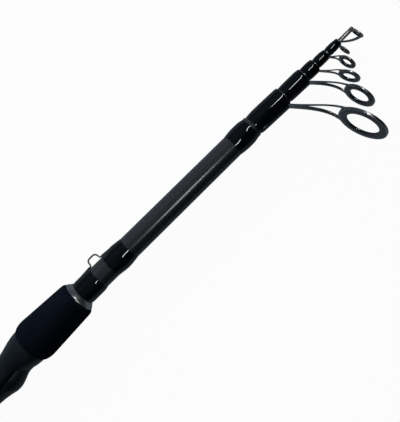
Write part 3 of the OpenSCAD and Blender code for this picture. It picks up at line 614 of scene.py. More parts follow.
def rounded_path(corners, bends, steps=8):
    """Points along a path whose corners are rounded, each starting its bend's length before it."""
    path = [corners[0]]
    for before, corner, after, back in zip(corners, corners[1:], corners[2:], bends):
        a = corner + (before - corner).normalized() * back
        b = corner + (after - corner).normalized() * back
        for t in spread(0, 1, steps):
            path.append(bent(a, corner, b, t))
    path.append(corners[-1])
    return path


# Finishes


class Nodes:
    """A shader's node tree under construction."""

    def __init__(self, tree):
        self.tree = tree

    def add(self, kind, inputs, output=0, **settings):
        """A node with its named inputs linked or set; returns one of its outputs."""
        node = self.tree.nodes.new(kind)
        for key, setting in settings.items():
            setattr(node, key, setting)
        for label, value in inputs.items():
            self.feed(node.inputs[label], value)
        return node.outputs[output]

    def feed(self, socket, value):
        """Links or sets one input."""
        if isinstance(value, bpy.types.NodeSocket):
            self.tree.links.new(value, socket)
        else:
            socket.default_value = value

    def parts(self, vector):
        node = self.tree.nodes.new("ShaderNodeSeparateXYZ")
        self.tree.links.new(vector, node.inputs[0])
        return node.outputs

    def noise(self, vector, scale, detail=3.0, rough=0.55):
        return self.add("ShaderNodeTexNoise",
                        {"Vector": vector, "Scale": scale, "Detail": detail, "Roughness": rough})

    def math(self, operation, *values):
        return self.add("ShaderNodeMath", dict(enumerate(values)), operation=operation)

    def between(self, value, lowest, highest, start=0.0, stop=1.0):
        """A value mapped from one range to another, and held at its ends."""
        inputs = {"Value": value, "From Min": start, "From Max": stop, "To Min": lowest, "To Max": highest}
        return self.add("ShaderNodeMapRange", inputs)

    def blend(self, factor, first, second):
        """A colour between two colours."""
        colours = [c if isinstance(c, bpy.types.NodeSocket) else (*c, 1) for c in (first, second)]
        return self.add("ShaderNodeMix", {0: factor, 6: colours[0], 7: colours[1]}, 2, data_type="RGBA")

    def rays(self):
        """1 for the camera's rays, for gloss, and for either of them, which show the surroundings."""
        light_path = self.tree.nodes.new("ShaderNodeLightPath")
        camera = light_path.outputs["Is Camera Ray"]
        gloss = light_path.outputs["Is Glossy Ray"]
        return camera, gloss, self.math("MAXIMUM", camera, gloss)


class Finish(Nodes):
    """A node material under construction, on the piece's own coordinates."""

    def __init__(self, name, **sockets):
        self.material = bpy.data.materials.new(name)
        self.material.use_nodes = True
        super().__init__(self.material.node_tree)
        self.shader = self.tree.nodes["Principled BSDF"]
        self.coordinates = self.tree.nodes.new("ShaderNodeTexCoord")
        for label, value in sockets.items():
            self.shader.inputs[label.replace("_", " ")].default_value = value

    def place(self, scale=(1, 1, 1), source="Object"):
        """The piece's coordinates, stretched by a scale along each axis."""
        return self.add("ShaderNodeMapping", {"Vector": self.coordinates.outputs[source], "Scale": scale})

    def bump(self, height, distance, strength=1.0):
        inputs = {"Height": height, "Distance": distance, "Strength": strength}
        self.wire("Normal", self.add("ShaderNodeBump", inputs))

    def wire(self, label, value):
        self.tree.links.new(value, self.shader.inputs[label])


def made_once(build):
    """Keeps a finish after it is first made, so that its pieces share it."""
    def find():
        name = build.__name__
        return bpy.data.materials.get(name) or build(name)
    return find


@made_once
def gloss_carbon(name):
    """Carbon cloth in a fine twill under satin lacquer, its alternate tows painted in a lit and a shaded
    tone.
    """
    finish = Finish(name, IOR=1.62)
    cell = sizes().weave
    across, along, _ = finish.parts(finish.place((1 / cell, 1 / cell, 1), "UV"))
    step = finish.math("ADD", finish.math("FLOOR", across), finish.math("FLOOR", along))
    over = finish.math("LESS_THAN", finish.math("FLOORED_MODULO", step, TWILL), TWILL / 2)
    fibres = finish.noise(finish.place((60, 2600, 2600)), 1.0)
    clouds = finish.noise(finish.place((30, 90, 90)), 1.0, 2.0)
    # Painted sheen: alternate twill tows take the shaded tone, mixed with random fibre grain.
    shade = finish.math("ADD", finish.math("MULTIPLY", over, 0.45), finish.math("MULTIPLY", fibres, 0.55))
    finish.wire("Base Color", finish.blend(shade, colours().carbon_dark, colours().carbon))
    finish.wire("Roughness", finish.between(clouds, 0.2, 0.24))
    return finish.material


@made_once
def black_epoxy(name):
    """Black thread wound round the blank under a thick gloss epoxy, with a painted sheen on its turns."""
    finish = Finish(name, IOR=1.5, Coat_Weight=1.0, Coat_Roughness=0.03, Specular_IOR_Level=0.0)
    along, _, _ = finish.parts(finish.place((TAU / sizes().thread, 1, 1)))
    thread = finish.between(finish.math("SINE", along), 0.0, 1.0, -1.0, 1.0)
    pool = finish.noise(finish.place((160, 160, 160)), 1.0, 2.0)
    # Painted sheen: each thread turn shades from the epoxy colour to a darker copy, varied at random by the
    # pool noise.
    dark = [c * 0.45 for c in colours().epoxy]
    shade = finish.math("MULTIPLY", thread, finish.between(pool, 0.5, 1.0))
    finish.wire("Base Color", finish.blend(shade, dark, colours().epoxy))
    finish.wire("Roughness", finish.between(pool, 0.3, 0.5))
    finish.bump(thread, 0.00002, 0.25)
    return finish.material


@made_once
def grip_foam(name):
    """Closed-cell foam, ground to shape, with rubbed patches and painted shade in its pores."""
    finish = Finish(name, Specular_IOR_Level=0.03)
    pores = finish.add("ShaderNodeTexVoronoi", {"Vector": finish.place(), "Scale": 2100.0})
    grain = finish.noise(finish.place(), 5200.0, 2.0)
    rubbed = finish.noise(finish.place((26, 60, 60)), 1.0, 4.0)
    ground = finish.noise(finish.place((900, 60, 60)), 1.0, 2.0)
    worn = finish.between(rubbed, 0.0, 1.0, 0.42, 0.72)
    tone = finish.blend(worn, colours().foam, colours().foam_worn)
    # Painted shade: the foam's pores are painted in a darker copy of the foam colour.
    shaded = finish.between(pores, 0.55, 1.0, 0.05, 0.4)
    painted_pore_shade = [c * 0.5 for c in colours().foam]
    finish.wire("Base Color", finish.blend(shaded, painted_pore_shade, tone))
    finish.wire("Roughness", finish.between(worn, 0.92, 0.74))
    relief = finish.math("ADD", finish.math("MULTIPLY", pores, 0.8), finish.math("MULTIPLY", grain, 0.35))
    finish.bump(finish.math("ADD", relief, finish.math("MULTIPLY", ground, 0.4)), 0.00012, 0.8)
    return finish.material


def turned_metal(name, tone, rough_low, rough_high):
    """Metal with fine tool lines round it."""
    finish = Finish(name, Metallic=1.0)
    lines = finish.noise(finish.place((9000, 40, 40)), 1.0, 2.0)
    patches = finish.noise(finish.place((300, 300, 300)), 1.0, 3.0)
    dark = [c * 0.72 for c in tone]
    finish.wire("Base Color", finish.blend(finish.between(patches, 0.0, 1.0, 0.3, 0.7), dark, tone))
    finish.wire("Roughness", finish.between(lines, rough_low, rough_high))
    finish.bump(lines, 0.000005, 0.2)
    return finish.material


@made_once
def satin_gunmetal(name):
    """Satin metal of the winding check and the bush."""
    return turned_metal(name, colours().gunmetal, 0.28, 0.38)


@made_once
def brushed_steel(name):
    """Brushed steel of the tip top."""
    return turned_metal(name, colours().steel, 0.36, 0.46)


@made_once
def dark_plating(name):
    """Dark plated steel of the guide frames, a little brighter where the plating thins."""
    finish = Finish(name, Metallic=1.0, Coat_Weight=0.25, Coat_Roughness=0.12)
    patches = finish.noise(finish.place((420, 420, 420)), 1.0, 4.0)
    grain = finish.noise(finish.place((5200, 5200, 5200)), 1.0, 2.0)
    bright = [c * 1.7 for c in colours().frame_metal]
    finish.wire("Base Color", finish.blend(finish.between(patches, 0.0, 1.0, 0.4, 0.75),
                                           colours().frame_metal, bright))
    finish.wire("Roughness", finish.between(grain, 0.22, 0.36))
    finish.bump(grain, 0.000008, 0.3)
    return finish.material


@made_once
def polished_ceramic(name):
    """Polished black ceramic."""
    finish = Finish(name, IOR=2.0)
    clouds = finish.noise(finish.place((700, 700, 700)), 1.0, 3.0)
    lighter = [c * 1.8 for c in colours().ceramic]
    finish.wire("Base Color", finish.blend(clouds, colours().ceramic, lighter))
    finish.wire("Roughness", finish.between(clouds, 0.05, 0.13))
    return finish.material


def moulded(name, tone, rough_low, rough_high, relief):
    """Moulded plastic with a fine spark-eroded texture and slightly polished patches."""
    finish = Finish(name, IOR=1.48, Specular_IOR_Level=0.45)
    grain = finish.noise(finish.place(), 3800.0, 2.0)
    patches = finish.noise(finish.place((90, 140, 140)), 1.0, 4.0)
    handled = finish.between(patches, 0.0, 1.0, 0.35, 0.7)
    dark = [c * 0.8 for c in tone]
    speck = finish.blend(finish.between(grain, 0.0, 1.0, 0.3, 0.7), dark, tone)
    finish.wire("Base Color", speck)
    finish.wire("Roughness", finish.between(handled, rough_high, rough_low))
    finish.bump(grain, relief, 0.7)
    return finish.material


@made_once
def seat_moulding(name):
    """Matte grey moulding of the reel seat."""
    return moulded(name, colours().seat, 0.3, 0.42, 0.000006)


@made_once
def cap_moulding(name):
    """Matte black moulding of the butt cap."""
    return moulded(name, colours().cap, 0.5, 0.7, 0.00004)


@made_once
def soft_rubber(name):
    """Dull rubber of the seal and the pad."""
    return moulded(name, colours().rubber, 0.75, 0.9, 0.00005)


# Pieces


def build_blank(node, body):
    """One carbon tube, or the solid tip."""
    outer, inner = turned_outline(node)
    loop = outer + inner[::-1]
    if not inner:
        loop = [(outer[0][0], 0), *outer, (outer[-1][0], 0)]
    mesh = turned_mesh(node + "_tube", loop, joined=bool(inner))
    piece(node + "_tube", mesh, gloss_carbon(), body, "carbon_blank", node)


def build_turned(name, node, material, slot, smooth=True):
    """A turned piece of the handle, with its CAD outline drawn as smooth curves."""
    outer, inner = turned_outline(node)
    shape = eased(outer) if smooth else outer
    mesh = turned_mesh(name, shape + inner[::-1])
    return piece(name, mesh, material, "handle", slot, node, sharp=40)


class Ridge:
    """The swelling of a wrap over a foot under it. Tops are (x, distance from the axis) of its crest."""

    def __init__(self, direction, tops, half_width):
        self.turn = math.atan2(direction.z, direction.y)
        self.tops = eased(tops)
        self.half_width = half_width

    def rise(self, x, turn, surface):
        """How far the wrap stands out over the foot at a place along and round the rod."""
        top = lookup(self.tops, x)
        away = abs((turn - self.turn + math.pi) % TAU - math.pi) * top
        return max(0, top - surface) * math.exp(-(away / self.half_width) ** 4)


def build_wrap(node, core, profile, body, ridge=None, front=None):
    """A wrap of thread under epoxy. Its profile is its thickness, rear and front tapers and end share."""
    thickness, rear_taper, front_taper, lip = profile
    x0 = low(node).x
    x1 = front or high(node).x
    glue = sizes().glue
    sides = sizes().sides + MORE_SIDES
    roll = 1.2 * MM
    rows_between = 48
    fullness = 1.3
    end_face = 0.15
    ends = [way for way, _ in rolled_edge(roll, 6)]
    rows = [x0 + way for way in ends]
    rows += spread(x0 + roll, x1 - roll, rows_between)[1:-1]
    rows += [x1 - way for way in ends[::-1]]
    rings = []
    for x in rows:
        share = min(1, (x - x0) / rear_taper, (x1 - x) / front_taper)
        swell = lip + (1 - lip) * math.sin(math.pi / 2 * share) ** fullness
        depth = min(1, (x - x0) / roll, (x1 - x) / roll)
        rim = end_face + (1 - end_face) * math.sqrt(max(0, 1 - (1 - depth) ** 2))
        base = lookup(core, x) + glue
        ring = []
        for k in range(sides):
            turn = TAU * k / sides
            radius = base + thickness * swell
            if ridge:
                radius += ridge.rise(x, turn, radius)
            radius = base + (radius - base) * rim
            ring.append(Vector((x, radius * math.cos(turn), radius * math.sin(turn))))
        rings.append(ring)
    under = [(x1, lookup(core, x1) + glue), (x0, lookup(core, x0) + glue)]
    rings += round_the_rod(under, sides)
    mesh = mesh_from(node + "_epoxy", lambda work: skin(work, rings, joined=True))
    piece(node + "_epoxy", mesh, black_epoxy(), body, "epoxy_wrap", node)


def guide_foot(number):
    """Height of a guide's foot above the rod's axis, at the middle of the strip."""
    outer, _ = turned_outline("section_%d_blank" % (number + 1))
    return outer[-1][1] + sizes().glue + sizes().feet[number - 1] / 2


def ring_insert(work, seat, collar_radius, thickness):
    """A ring insert: rounded towards the line, with domed faces and a belt that the collar grips."""
    half = thickness / 2
    belt = half - sizes().insert_proud - sizes().collar_lip
    outer = collar_radius - sizes().collar_wall - sizes().glue
    rim = collar_radius - lip_reach(collar_radius) - sizes().glue
    squareness = 0.85
    land = 0.1 * MM
    bulge = 0.55 * (rim - seat.hole)
    slope = 0.42 * (rim - seat.hole)
    fall = half - belt - land
    outline = []
    for turn in spread(-math.pi / 2, math.pi / 2, 24):
        across = math.cos(turn) ** squareness
        through = math.copysign(abs(math.sin(turn)) ** squareness, turn)
        outline.append((half * through, seat.hole + bulge * (1 - across)))
    edge = [(slope * (1 - math.sin(a)), fall * (1 - math.cos(a))) for a in spread(0, math.pi / 2, 8)]
    outline += [(half - drop, rim - way) for way, drop in edge]
    outline += [(belt, rim), (belt, outer), (-belt, outer), (-belt, rim)]
    outline += [(drop - half, rim - way) for way, drop in edge[::-1]]
    seat.turn(work, outline)


def lip_reach(collar_radius):
    """How far a collar's lips reach in over its insert."""
    least = sizes().collar_wall + 0.2 * MM
    share = 0.07
    return max(least, share * collar_radius)


def collar(work, seat, outer, thickness):
    """The collar round an insert, with rolled edges and a thin lip on each face."""
    half = thickness / 2 - sizes().insert_proud
    under = half - sizes().collar_lip
    inner = outer - sizes().collar_wall
    rim = outer - lip_reach(outer)
    roll = 0.3 * MM
    edge = rolled_edge(roll)
    outline = [(-under, inner), (under, inner), (under, rim), (half, rim)]
    outline += [(half - way, outer - drop) for way, drop in edge]
    outline += [(way - half, outer - drop) for way, drop in edge[::-1]]
    outline += [(-half, rim), (-under, rim)]
    seat.turn(work, outline)


def leg_rings(seat, start, hand, rim, widths, thickness, corner):
    """Rings of one leg: it climbs from the foot, bows towards the tip and runs out along the collar."""
    turn = math.radians(50)
    run_out = math.radians(28)
    climb = math.radians(65)
    fold = math.radians(30)
    leaving_pull = 1.3
    arriving_pull = 0.78
    bow_share = 0.075
    free_steps = 36
    run_steps = 8
    stop = seat.at(rim * math.cos(turn), hand * rim * math.sin(turn))
    chord = (stop - start).length
    leaving = (ALONG * math.cos(climb) + seat.radial * math.sin(climb)) * chord * leaving_pull
    arriving = (seat.side * hand * math.cos(turn) - seat.down * math.sin(turn)) * chord * arriving_pull
    bow = seat.axis * chord * -bow_share
    path = []
    facings = []
    for t in spread(0, 1, free_steps):
        swing = math.sin(math.pi * t)
        path.append(curve_point(start, leaving, stop, arriving, t) + bow * swing)
        facings.append(seat.axis * math.cos(fold * swing) - seat.side * hand * math.sin(fold * swing))
    for place in spread(turn, turn + run_out, run_steps)[1:]:
        path.append(seat.at(rim * math.cos(place), hand * rim * math.sin(place)))
        facings.append(seat.axis)
    root, neck, end = widths
    across = spread(root, neck, free_steps) + spread(neck, end, run_steps)[1:]
    return strip_rings(path, facings, [rounded_strip(width, thickness, corner) for width in across])


def build_guide(number):
    """One guide: its foot, two legs that flare to the collar, the collar and the ring insert."""
    size = sizes()
    node = "guide_%d" % number
    body = "section_%d" % (number + 1)
    seat = RingSeat(node)
    width = size.strip_widths[number - 1]
    outer = size.collars[number - 1]
    insert = size.inserts[number - 1]
    foot = seat.radial * guide_foot(number)
    foot_front = high(body + "_blank").x - size.emerge[number - 1]
    corner = 0.22 * MM
    rim = outer - size.collar_wall / 2
    root_share = 0.56
    neck_share = 0.42
    leg_widths = (root_share * width, neck_share * width, size.collar_wall)

    def build(work):
        places = spread(low(node + "_frame").x, foot_front + corner, 2)
        path = [ALONG * x + foot for x in places]
        flat = rounded_strip(width, size.feet[number - 1], min(corner, size.feet[number - 1] / 3))
        skin(work, strip_rings(path, [seat.radial] * len(path), [flat] * len(path)), capped=True)
        for hand in (-1, 1):
            start = ALONG * foot_front + foot + seat.side * hand * width / 4
            leg = leg_rings(seat, start, hand, rim, leg_widths, size.legs[number - 1], corner)
            skin(work, leg, capped=True)
        collar(work, seat, outer, insert)

    frame_mesh = mesh_from(node + "_metal", build)
    piece(node + "_metal", frame_mesh, dark_plating(), body, "guide_metal", node + "_frame", sharp=50)
    ring_mesh = mesh_from(node + "_insert", lambda work: ring_insert(work, seat, outer, insert))
    piece(node + "_insert", ring_mesh, polished_ceramic(), body, "ring_ceramic", node + "_ring", sharp=60)


def hood_height(share):
    """Height of a hood above the rod's axis, from its mouth (0) to its root (1)."""
    size = sizes()
    crest_start = 0.5
    crest_end = 0.57
    if share < crest_start:
        return size.hood_mouth + (size.hood_crest - size.hood_mouth) * (share / crest_start) ** 2
    fall = max(0, (share - crest_end) / (1 - crest_end))
    return size.hood_root + (size.hood_crest - size.hood_root) * math.cos(math.pi / 2 * min(1, fall)) ** 2


def hood_rings(mouth, step, full, pocket, reach):
    """Rings of a hood's shell from its mouth back, with a rolled lip. Step is the way to its root."""
    size = sizes()
    axis_drop = 4 * MM
    edge_mouth = 8.8 * MM
    edge_root = 5.6 * MM
    buried = 3 * MM
    lip = 0.7 * MM
    steps = 28
    rows = 44
    places = [way for way, _ in rolled_edge(lip, 4)] + spread(lip, reach, rows)[1:]
    rings = []
    for place in places:
        share = min(1, place / full)
        outer = hood_height(share) - axis_drop
        edge = edge_mouth + (edge_root - edge_mouth) * share
        wall = size.hood_wall
        middle = outer - wall / 2
        depth = min(1, place / lip)
        half = wall / 2 * math.sqrt(max(0, 1 - (1 - depth) ** 2))
        inner = middle - half if place < pocket else buried
        ring = []
        for radius, direction in ((middle + half, 1), (inner, -1)):
            limit = math.acos(max(-1, min(1, (edge - axis_drop) / radius)))
            for turn in spread(-limit * direction, limit * direction, steps):
                down = axis_drop + radius * math.cos(turn)
                ring.append(Vector((mouth + step * place, -down, radius * math.sin(turn))))
        rings.append(ring)
    return rings


def seat_radius(x):
    """Radius of the reel seat's body: barrel, neck and flare."""
    size = sizes()
    front = high("reel_seat").x
    flare_radius = high("reel_seat").z
    under_hood = 4 * MM
    fullness = 1.3
    barrel_front = front - size.mouth_back + under_hood
    neck_x = front - size.flare
    if x <= barrel_front:
        return size.barrel
    if x <= neck_x:
        share = (x - barrel_front) / (neck_x - barrel_front)
        return size.neck + (size.barrel - size.neck) * (1 + math.cos(math.pi * share)) / 2
    share = (x - neck_x) / size.flare
    return size.neck + (flare_radius - size.neck) * math.sin(math.pi / 2 * share) ** fullness


def build_reel_seat(work):
    """The reel seat's body with its bed, and its fixed hood."""
    size = sizes()
    rear = low("reel_seat").x
    front = high("reel_seat").x
    mouth = front - size.mouth_back
    bed_front = mouth + size.pocket
    relief = 0.42 * MM
    run_in = MM
    chamfer = 0.6 * MM
    hood_root = 4 * MM
    sides = size.sides + MORE_SIDES
    hair = 0.01 * MM
    rows = spread(rear, bed_front - hair, 72) + spread(bed_front + hair, front, 48)
    rings = []
    for x in rows:
        ramp = min(1, max(0, (x - rear - run_in) / run_in), max(0, (mouth - 2 * run_in - x) / run_in))
        edge = chamfer * max(0, 1 - (x - rear) / chamfer)
        radius = seat_radius(x) - relief * ramp - edge
        ring = []
        for k in range(sides):
            turn = TAU * k / sides
            drop = -math.cos(turn)
            reach = radius
            if x < bed_front and drop * radius > size.bed:
                reach = size.bed / drop
            ring.append(Vector((x, reach * math.cos(turn), reach * math.sin(turn))))
        rings.append(ring)
    bore = turned_outline("butt_blank")[0][0][1] + size.glue
    rings += round_the_rod([(front, bore), (rear, bore)], sides)
    skin(work, rings, joined=True)
    skin(work, hood_rings(mouth, 1, size.hood, size.pocket, size.hood + hood_root), capped=True)


def build_moving_hood(work):
    """The moving hood: its sleeve on the barrel and its shell."""
    size = sizes()
    rear = low("moving_hood").x
    front = high("moving_hood").x
    full = front - rear
    bore = size.barrel + size.thread_gap
    radius = size.sleeve_radius
    roll = 0.9 * MM
    outline = ringed_outline(rear, rear + size.sleeve, radius, bore, roll)
    skin(work, round_the_rod(outline, size.sides), joined=True)
    pocket = full - size.sleeve - size.hood_wall
    rings = hood_rings(front, -1, full, pocket, full - roll)
    bored = []
    for ring in rings:
        bored.append([clear_of_barrel(point, bore) for point in ring])
    skin(work, bored, capped=True)


def clear_of_barrel(point, bore):
    """Moves a point out of the barrel's bore, straight away from the rod's axis."""
    radius = math.hypot(point.y, point.z)
    if radius >= bore:
        return point
    grow = bore / radius
    return Vector((point.x, point.y * grow, point.z * grow))


# Operators


class ROD_OT_blanks(bpy.types.Operator):
    """Make the carbon blanks: the butt, five sections and the tip"""

    bl_idname = "rod.blanks"
    bl_label = "Carbon blanks"

    def execute(self, context):
        build_blank("butt_blank", "handle")
        for number in range(2, 7):
            build_blank("section_%d_blank" % number, "section_%d" % number)
        build_blank("tip_blank", "tip")
        return {"FINISHED"}


class ROD_OT_grips(bpy.types.Operator):
    """Make the two foam grips and the winding check"""

    bl_idname = "rod.grips"
    bl_label = "Grips and winding check"

    def execute(self, context):
        for node in ("rear_grip", "fore_grip"):
            grip = build_turned(node + "_foam", node, grip_foam(), "eva_foam")
        build_turned("winding_check_ring", "winding_check", satin_gunmetal(), "trim_metal", smooth=False)
        return {"FINISHED"}


class ROD_OT_wraps(bpy.types.Operator):
    """Make the thread wraps on the butt blank and on the sections"""

    bl_idname = "rod.wraps"
    bl_label = "Thread wraps"

    def execute(self, context):
        self.wrap_butt()
        for number in GUIDES:
            self.wrap_section(number)
        return {"FINISHED"}

    def wrap_butt(self):
        """The two wraps over the hook keeper's feet, and the wrap that strengthens the butt blank's tip."""
        size = sizes()
        butt, _ = turned_outline("butt_blank")
        start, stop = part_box("hook_keeper")
        wire = stop.z - start.z
        hidden = start.y + KEEPER_FOOT * wire + size.foot_cover
        seen = start.y + wire + size.foot_cover
        skirt = 1.4 * MM
        run_out = 3 * MM
        wide = wire / 2 + skirt
        rear_front = high("keeper_wrap_rear").x
        front_rear = low("keeper_wrap_front").x
        rear = Ridge(KEEPER_SIDE, [(start.x, hidden), (rear_front, seen)], wide)
        front = Ridge(KEEPER_SIDE, [(front_rear, seen), (stop.x, hidden), (stop.x + run_out, start.y)], wide)
        tip = high("butt_blank").x - size.collar_stop
        for node, thickness, ridge, end in (("keeper_wrap_rear", size.rear_wrap, rear, None),
                                            ("keeper_wrap_front", size.front_wrap, front, None),
                                            ("collar_wrap", size.collar_wrap, None, tip)):
            build_wrap(node, butt, (thickness, *BUTT_WRAPS[node]), "handle", ridge, end)

    def wrap_section(self, number):
        """The wrap over one guide's foot."""
        size = sizes()
        place = number - 1
        body = "section_%d" % (number + 1)
        blank, _ = turned_outline(body + "_blank")
        foot_rear = low("guide_%d_frame" % number).x
        foot_top = guide_foot(number) + size.feet[place] / 2
        run_in = 3 * MM
        front = high(body + "_blank").x - size.section_stop
        tops = [(foot_rear - run_in, foot_top - size.feet[place]), (foot_rear, foot_top + size.foot_cover),
                (front, foot_top + size.foot_covers[place])]
        wide = size.strip_widths[place] / 2 + size.section_skirts[place]
        ridge = Ridge(RingSeat("guide_%d" % number).radial, tops, wide)
        profile = (size.section_wraps[place], size.section_rears[place], size.section_fronts[place],
                   size.section_lips[place])
        build_wrap(body + "_wrap", blank, profile, body, ridge, front)


class ROD_OT_hook_keeper(bpy.types.Operator):
    """Make the bent wire hook keeper"""

    bl_idname = "rod.hook_keeper"
    bl_label = "Hook keeper"

    def execute(self, context):
        size = sizes()
        start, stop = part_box("hook_keeper")
        wire = stop.z - start.z
        foot = start.y + wire / 2
        top = stop.y - wire / 2
        rear = high("keeper_wrap_rear").x + size.keeper_leg
        front = low("keeper_wrap_front").x - size.keeper_leg
        thin = start.y + KEEPER_FOOT * wire / 2
        taper = size.keeper_taper
        places = [(start.x, thin), (start.x + taper, foot), (rear, foot), (rear + size.keeper_lean, top),
                  (front - size.keeper_lean, top), (front, foot), (stop.x - taper, foot), (stop.x, thin)]
        bend = 0.5 * MM
        bends = (bend, size.keeper_base, size.keeper_bend, size.keeper_bend, size.keeper_base, bend)
        path = rounded_path([Vector((x, y, 0)) for x, y in places], bends)
        mesh = wire_tree().apply("hook_keeper_wire", path_curve("hook_keeper_path", path), diameter=wire,
                                 sides=20, taper=taper, end=KEEPER_FOOT, material=dark_plating())
        piece("hook_keeper_wire", mesh, dark_plating(), "handle", "keeper_wire", "hook_keeper")
        return {"FINISHED"}


class ROD_OT_reel_seat(bpy.types.Operator):
    """Make the reel seat, its moving hood and its lock nut"""

    bl_idname = "rod.reel_seat"
    bl_label = "Reel seat"

    def execute(self, context):
        self.make_seat()
        self.make_hood()
        self.make_nut()
        return {"FINISHED"}

    def make_seat(self):
        """The seat's body, with the thread on its barrel."""
        size = sizes()
        thread_rear = 1.5 * MM
        thread_stop = 4 * MM
        ridge = 0.84 * MM
        bed_gap = 0.1 * MM
        rear = low("reel_seat").x + thread_rear
        run = high("reel_seat").x - size.mouth_back - thread_stop - rear
        body = mesh_from("reel_seat_body", build_reel_seat)
        mesh = thread_tree().apply("reel_seat_body", body, turns=run / size.pitch,
                                   radius=size.barrel - ridge / 2, start=rear, length=run, ridge=ridge,
                                   bed=size.bed - bed_gap, material=seat_moulding())
        piece("reel_seat_body", mesh, seat_moulding(), "handle", "seat_plastic", "reel_seat", sharp=40)

    def make_hood(self):
        hood = mesh_from("moving_hood_shell", build_moving_hood)
        piece("moving_hood_shell", hood, seat_moulding(), "moving_hood", "seat_plastic", "moving_hood",
              sharp=40)

    def make_nut(self):
        """The ribbed lock nut."""
        size = sizes()
        roll = 0.8 * MM
        width = 3 * MM
        margin = 0.6 * MM
        nut_rear = low("lock_nut").x
        nut_front = high("lock_nut").x
        radius = high("lock_nut").z
        bore = size.barrel + size.thread_gap
        outline = ringed_outline(nut_rear, nut_front, radius - size.rib_rise, bore, roll)
        nut = turned_mesh("lock_nut_ring", outline)
        ribbed = rib_tree().apply("lock_nut_ring", nut, count=size.nut_ribs, radius=radius - width / 2,
                                  start=nut_rear + margin, length=nut_front - nut_rear - 2 * margin,
                                  width=width, material=seat_moulding())
        piece("lock_nut_ring", ribbed, seat_moulding(), "lock_nut", "seat_plastic", "lock_nut", sharp=40)


class ROD_OT_butt_cap(bpy.types.Operator):
    """Make the butt cap, and finish its bush, seal and pad"""

    bl_idname = "rod.butt_cap"
    bl_label = "Butt cap"

    def execute(self, context):
        size = sizes()
        head = low("cap_seal").x - size.glue
        end = high("butt_cap").x
        radius = high("butt_cap").z
        core = radius - size.rib_rise
        roll = 3 * MM
        edge = 0.6 * MM
        width = 2.6 * MM
        rib_start = roll * 0.6
        hollow = size.screw - size.screw_wall
        outline = [(0, 0)]
        outline += [(roll * (1 - math.sin(a)), core - roll * (1 - math.cos(a)))
                    for a in spread(math.pi / 2, 0, 8)]
        outline += [(head - edge, core), (head, core - edge), (head, size.screw), (end - edge, size.screw),
                    (end, size.screw - edge), (end, hollow), (head - size.pad_pocket, hollow),
                    (head - size.pad_pocket, 0)]
        cap = turned_mesh("butt_cap_head", outline, joined=False)
        ribbed = rib_tree().apply("butt_cap_head", cap, count=size.cap_ribs, radius=radius - width / 2,
                                  start=rib_start, length=head - rib_start - edge, width=width,
                                  material=cap_moulding())
        piece("butt_cap_head", ribbed, cap_moulding(), "butt_cap", "cap_plastic", "butt_cap", sharp=40)
        for node, material in (("butt_bush", satin_gunmetal()), ("cap_seal", soft_rubber()),
                               ("cap_pad", soft_rubber())):
            mesh = frame["nodes"][node].data
            mesh.materials.clear()
            mesh.materials.append(material)
        return {"FINISHED"}


class ROD_OT_guides(bpy.types.Operator):
    """Make the five guides with their ring inserts"""

    bl_idname = "rod.guides"
    bl_label = "Guides"

    def execute(self, context):
        for number in GUIDES:
            build_guide(number)
        return {"FINISHED"}


class ROD_OT_tip_top(bpy.types.Operator):
    """Make the tip top: tube, collar, braces and ring insert"""

    bl_idname = "rod.tip_top"
    bl_label = "Tip top"

    def execute(self, context):
        seat = RingSeat("tip_top")
        rear = low("tip_top_frame").x
        self.make_tube(seat, rear)
        self.make_braces(seat, rear)
        size = sizes()
        ring = mesh_from("tip_top_insert",
                         lambda work: ring_insert(work, seat, size.tip_collar, size.tip_insert))
        piece("tip_top_insert", ring, polished_ceramic(), "tip", "ring_ceramic", "tip_top_ring", sharp=60)
        return {"FINISHED"}

    def make_tube(self, seat, rear):
        """The tube on the tip, closed but for a pinhole in front, and the collar."""
        size = sizes()
        roll = 0.3 * MM
        pinhole = 0.2 * MM
        end_wall = MM
        bore_taper = 0.8
        front = seat.centre.x - size.tip_lead
        tip, _ = turned_outline("tip_blank")
        bore = lookup(tip, rear) + size.glue
        tube = [(rear, bore), (rear, size.tip_tube - roll), (rear + roll, size.tip_tube),
                (front - roll, size.tip_tube), (front, size.tip_tube - roll), (front, pinhole),
                (front - end_wall, pinhole), (front - end_wall, bore * bore_taper)]

        def build(work):
            skin(work, round_the_rod(tube, size.sides), joined=True)
            collar(work, seat, size.tip_collar, size.tip_insert)

        mesh = mesh_from("tip_top_metal", build)
        piece("tip_top_metal", mesh, brushed_steel(), "tip", "guide_metal", "tip_top_frame", sharp=50)

    def make_braces(self, seat, rear):
        """Two wires that bulge from the tube's rear to the far side of the collar."""
        size = sizes()
        aside = math.radians(12)
        bulge_share = 0.68
        steps = 24
        rim = size.tip_collar - size.collar_wall / 2
        braces = []
        for hand in (-1, 1):
            near = ALONG * (rear + size.brace) + seat.radial * (size.tip_tube - size.brace / 4)
            near += seat.side * hand * size.tip_tube / 2
            far = seat.at(-rim * math.cos(aside), hand * rim * math.sin(aside))
            across = seat.side.cross(far - near).normalized()
            bulge = near.lerp(far, bulge_share) + across * size.brace_bow
            braces.append([bent(near, bulge, far, t) for t in spread(0, 1, steps)])
        wires = wire_tree().apply("tip_top_braces", path_curve("brace_paths", *braces), diameter=size.brace,
                                  sides=16, taper=MM, end=1.0, material=brushed_steel())
        piece("tip_top_braces", wires, brushed_steel(), "tip", "guide_metal", "tip_top_frame")


def lamp(name, place, turn, length, width, brightness, diffuse=False, gloss=False, tint=(1, 1, 1)):
    """A soft rectangular lamp, hidden from the camera. Brightness is what a mirror shows of it."""
    data = bpy.data.lights.new(name, "AREA")
    data.shape = "RECTANGLE"
    data.size = length
    data.size_y = width
    data.energy = brightness * math.pi * length * width
    data.color = tint
    made = bpy.data.objects.new(name, data)
    made.location = place
    made.rotation_euler = turn
    made.visible_camera = False
    made.visible_diffuse = diffuse
    made.visible_glossy = gloss
    bpy.context.scene.collection.objects.link(made)


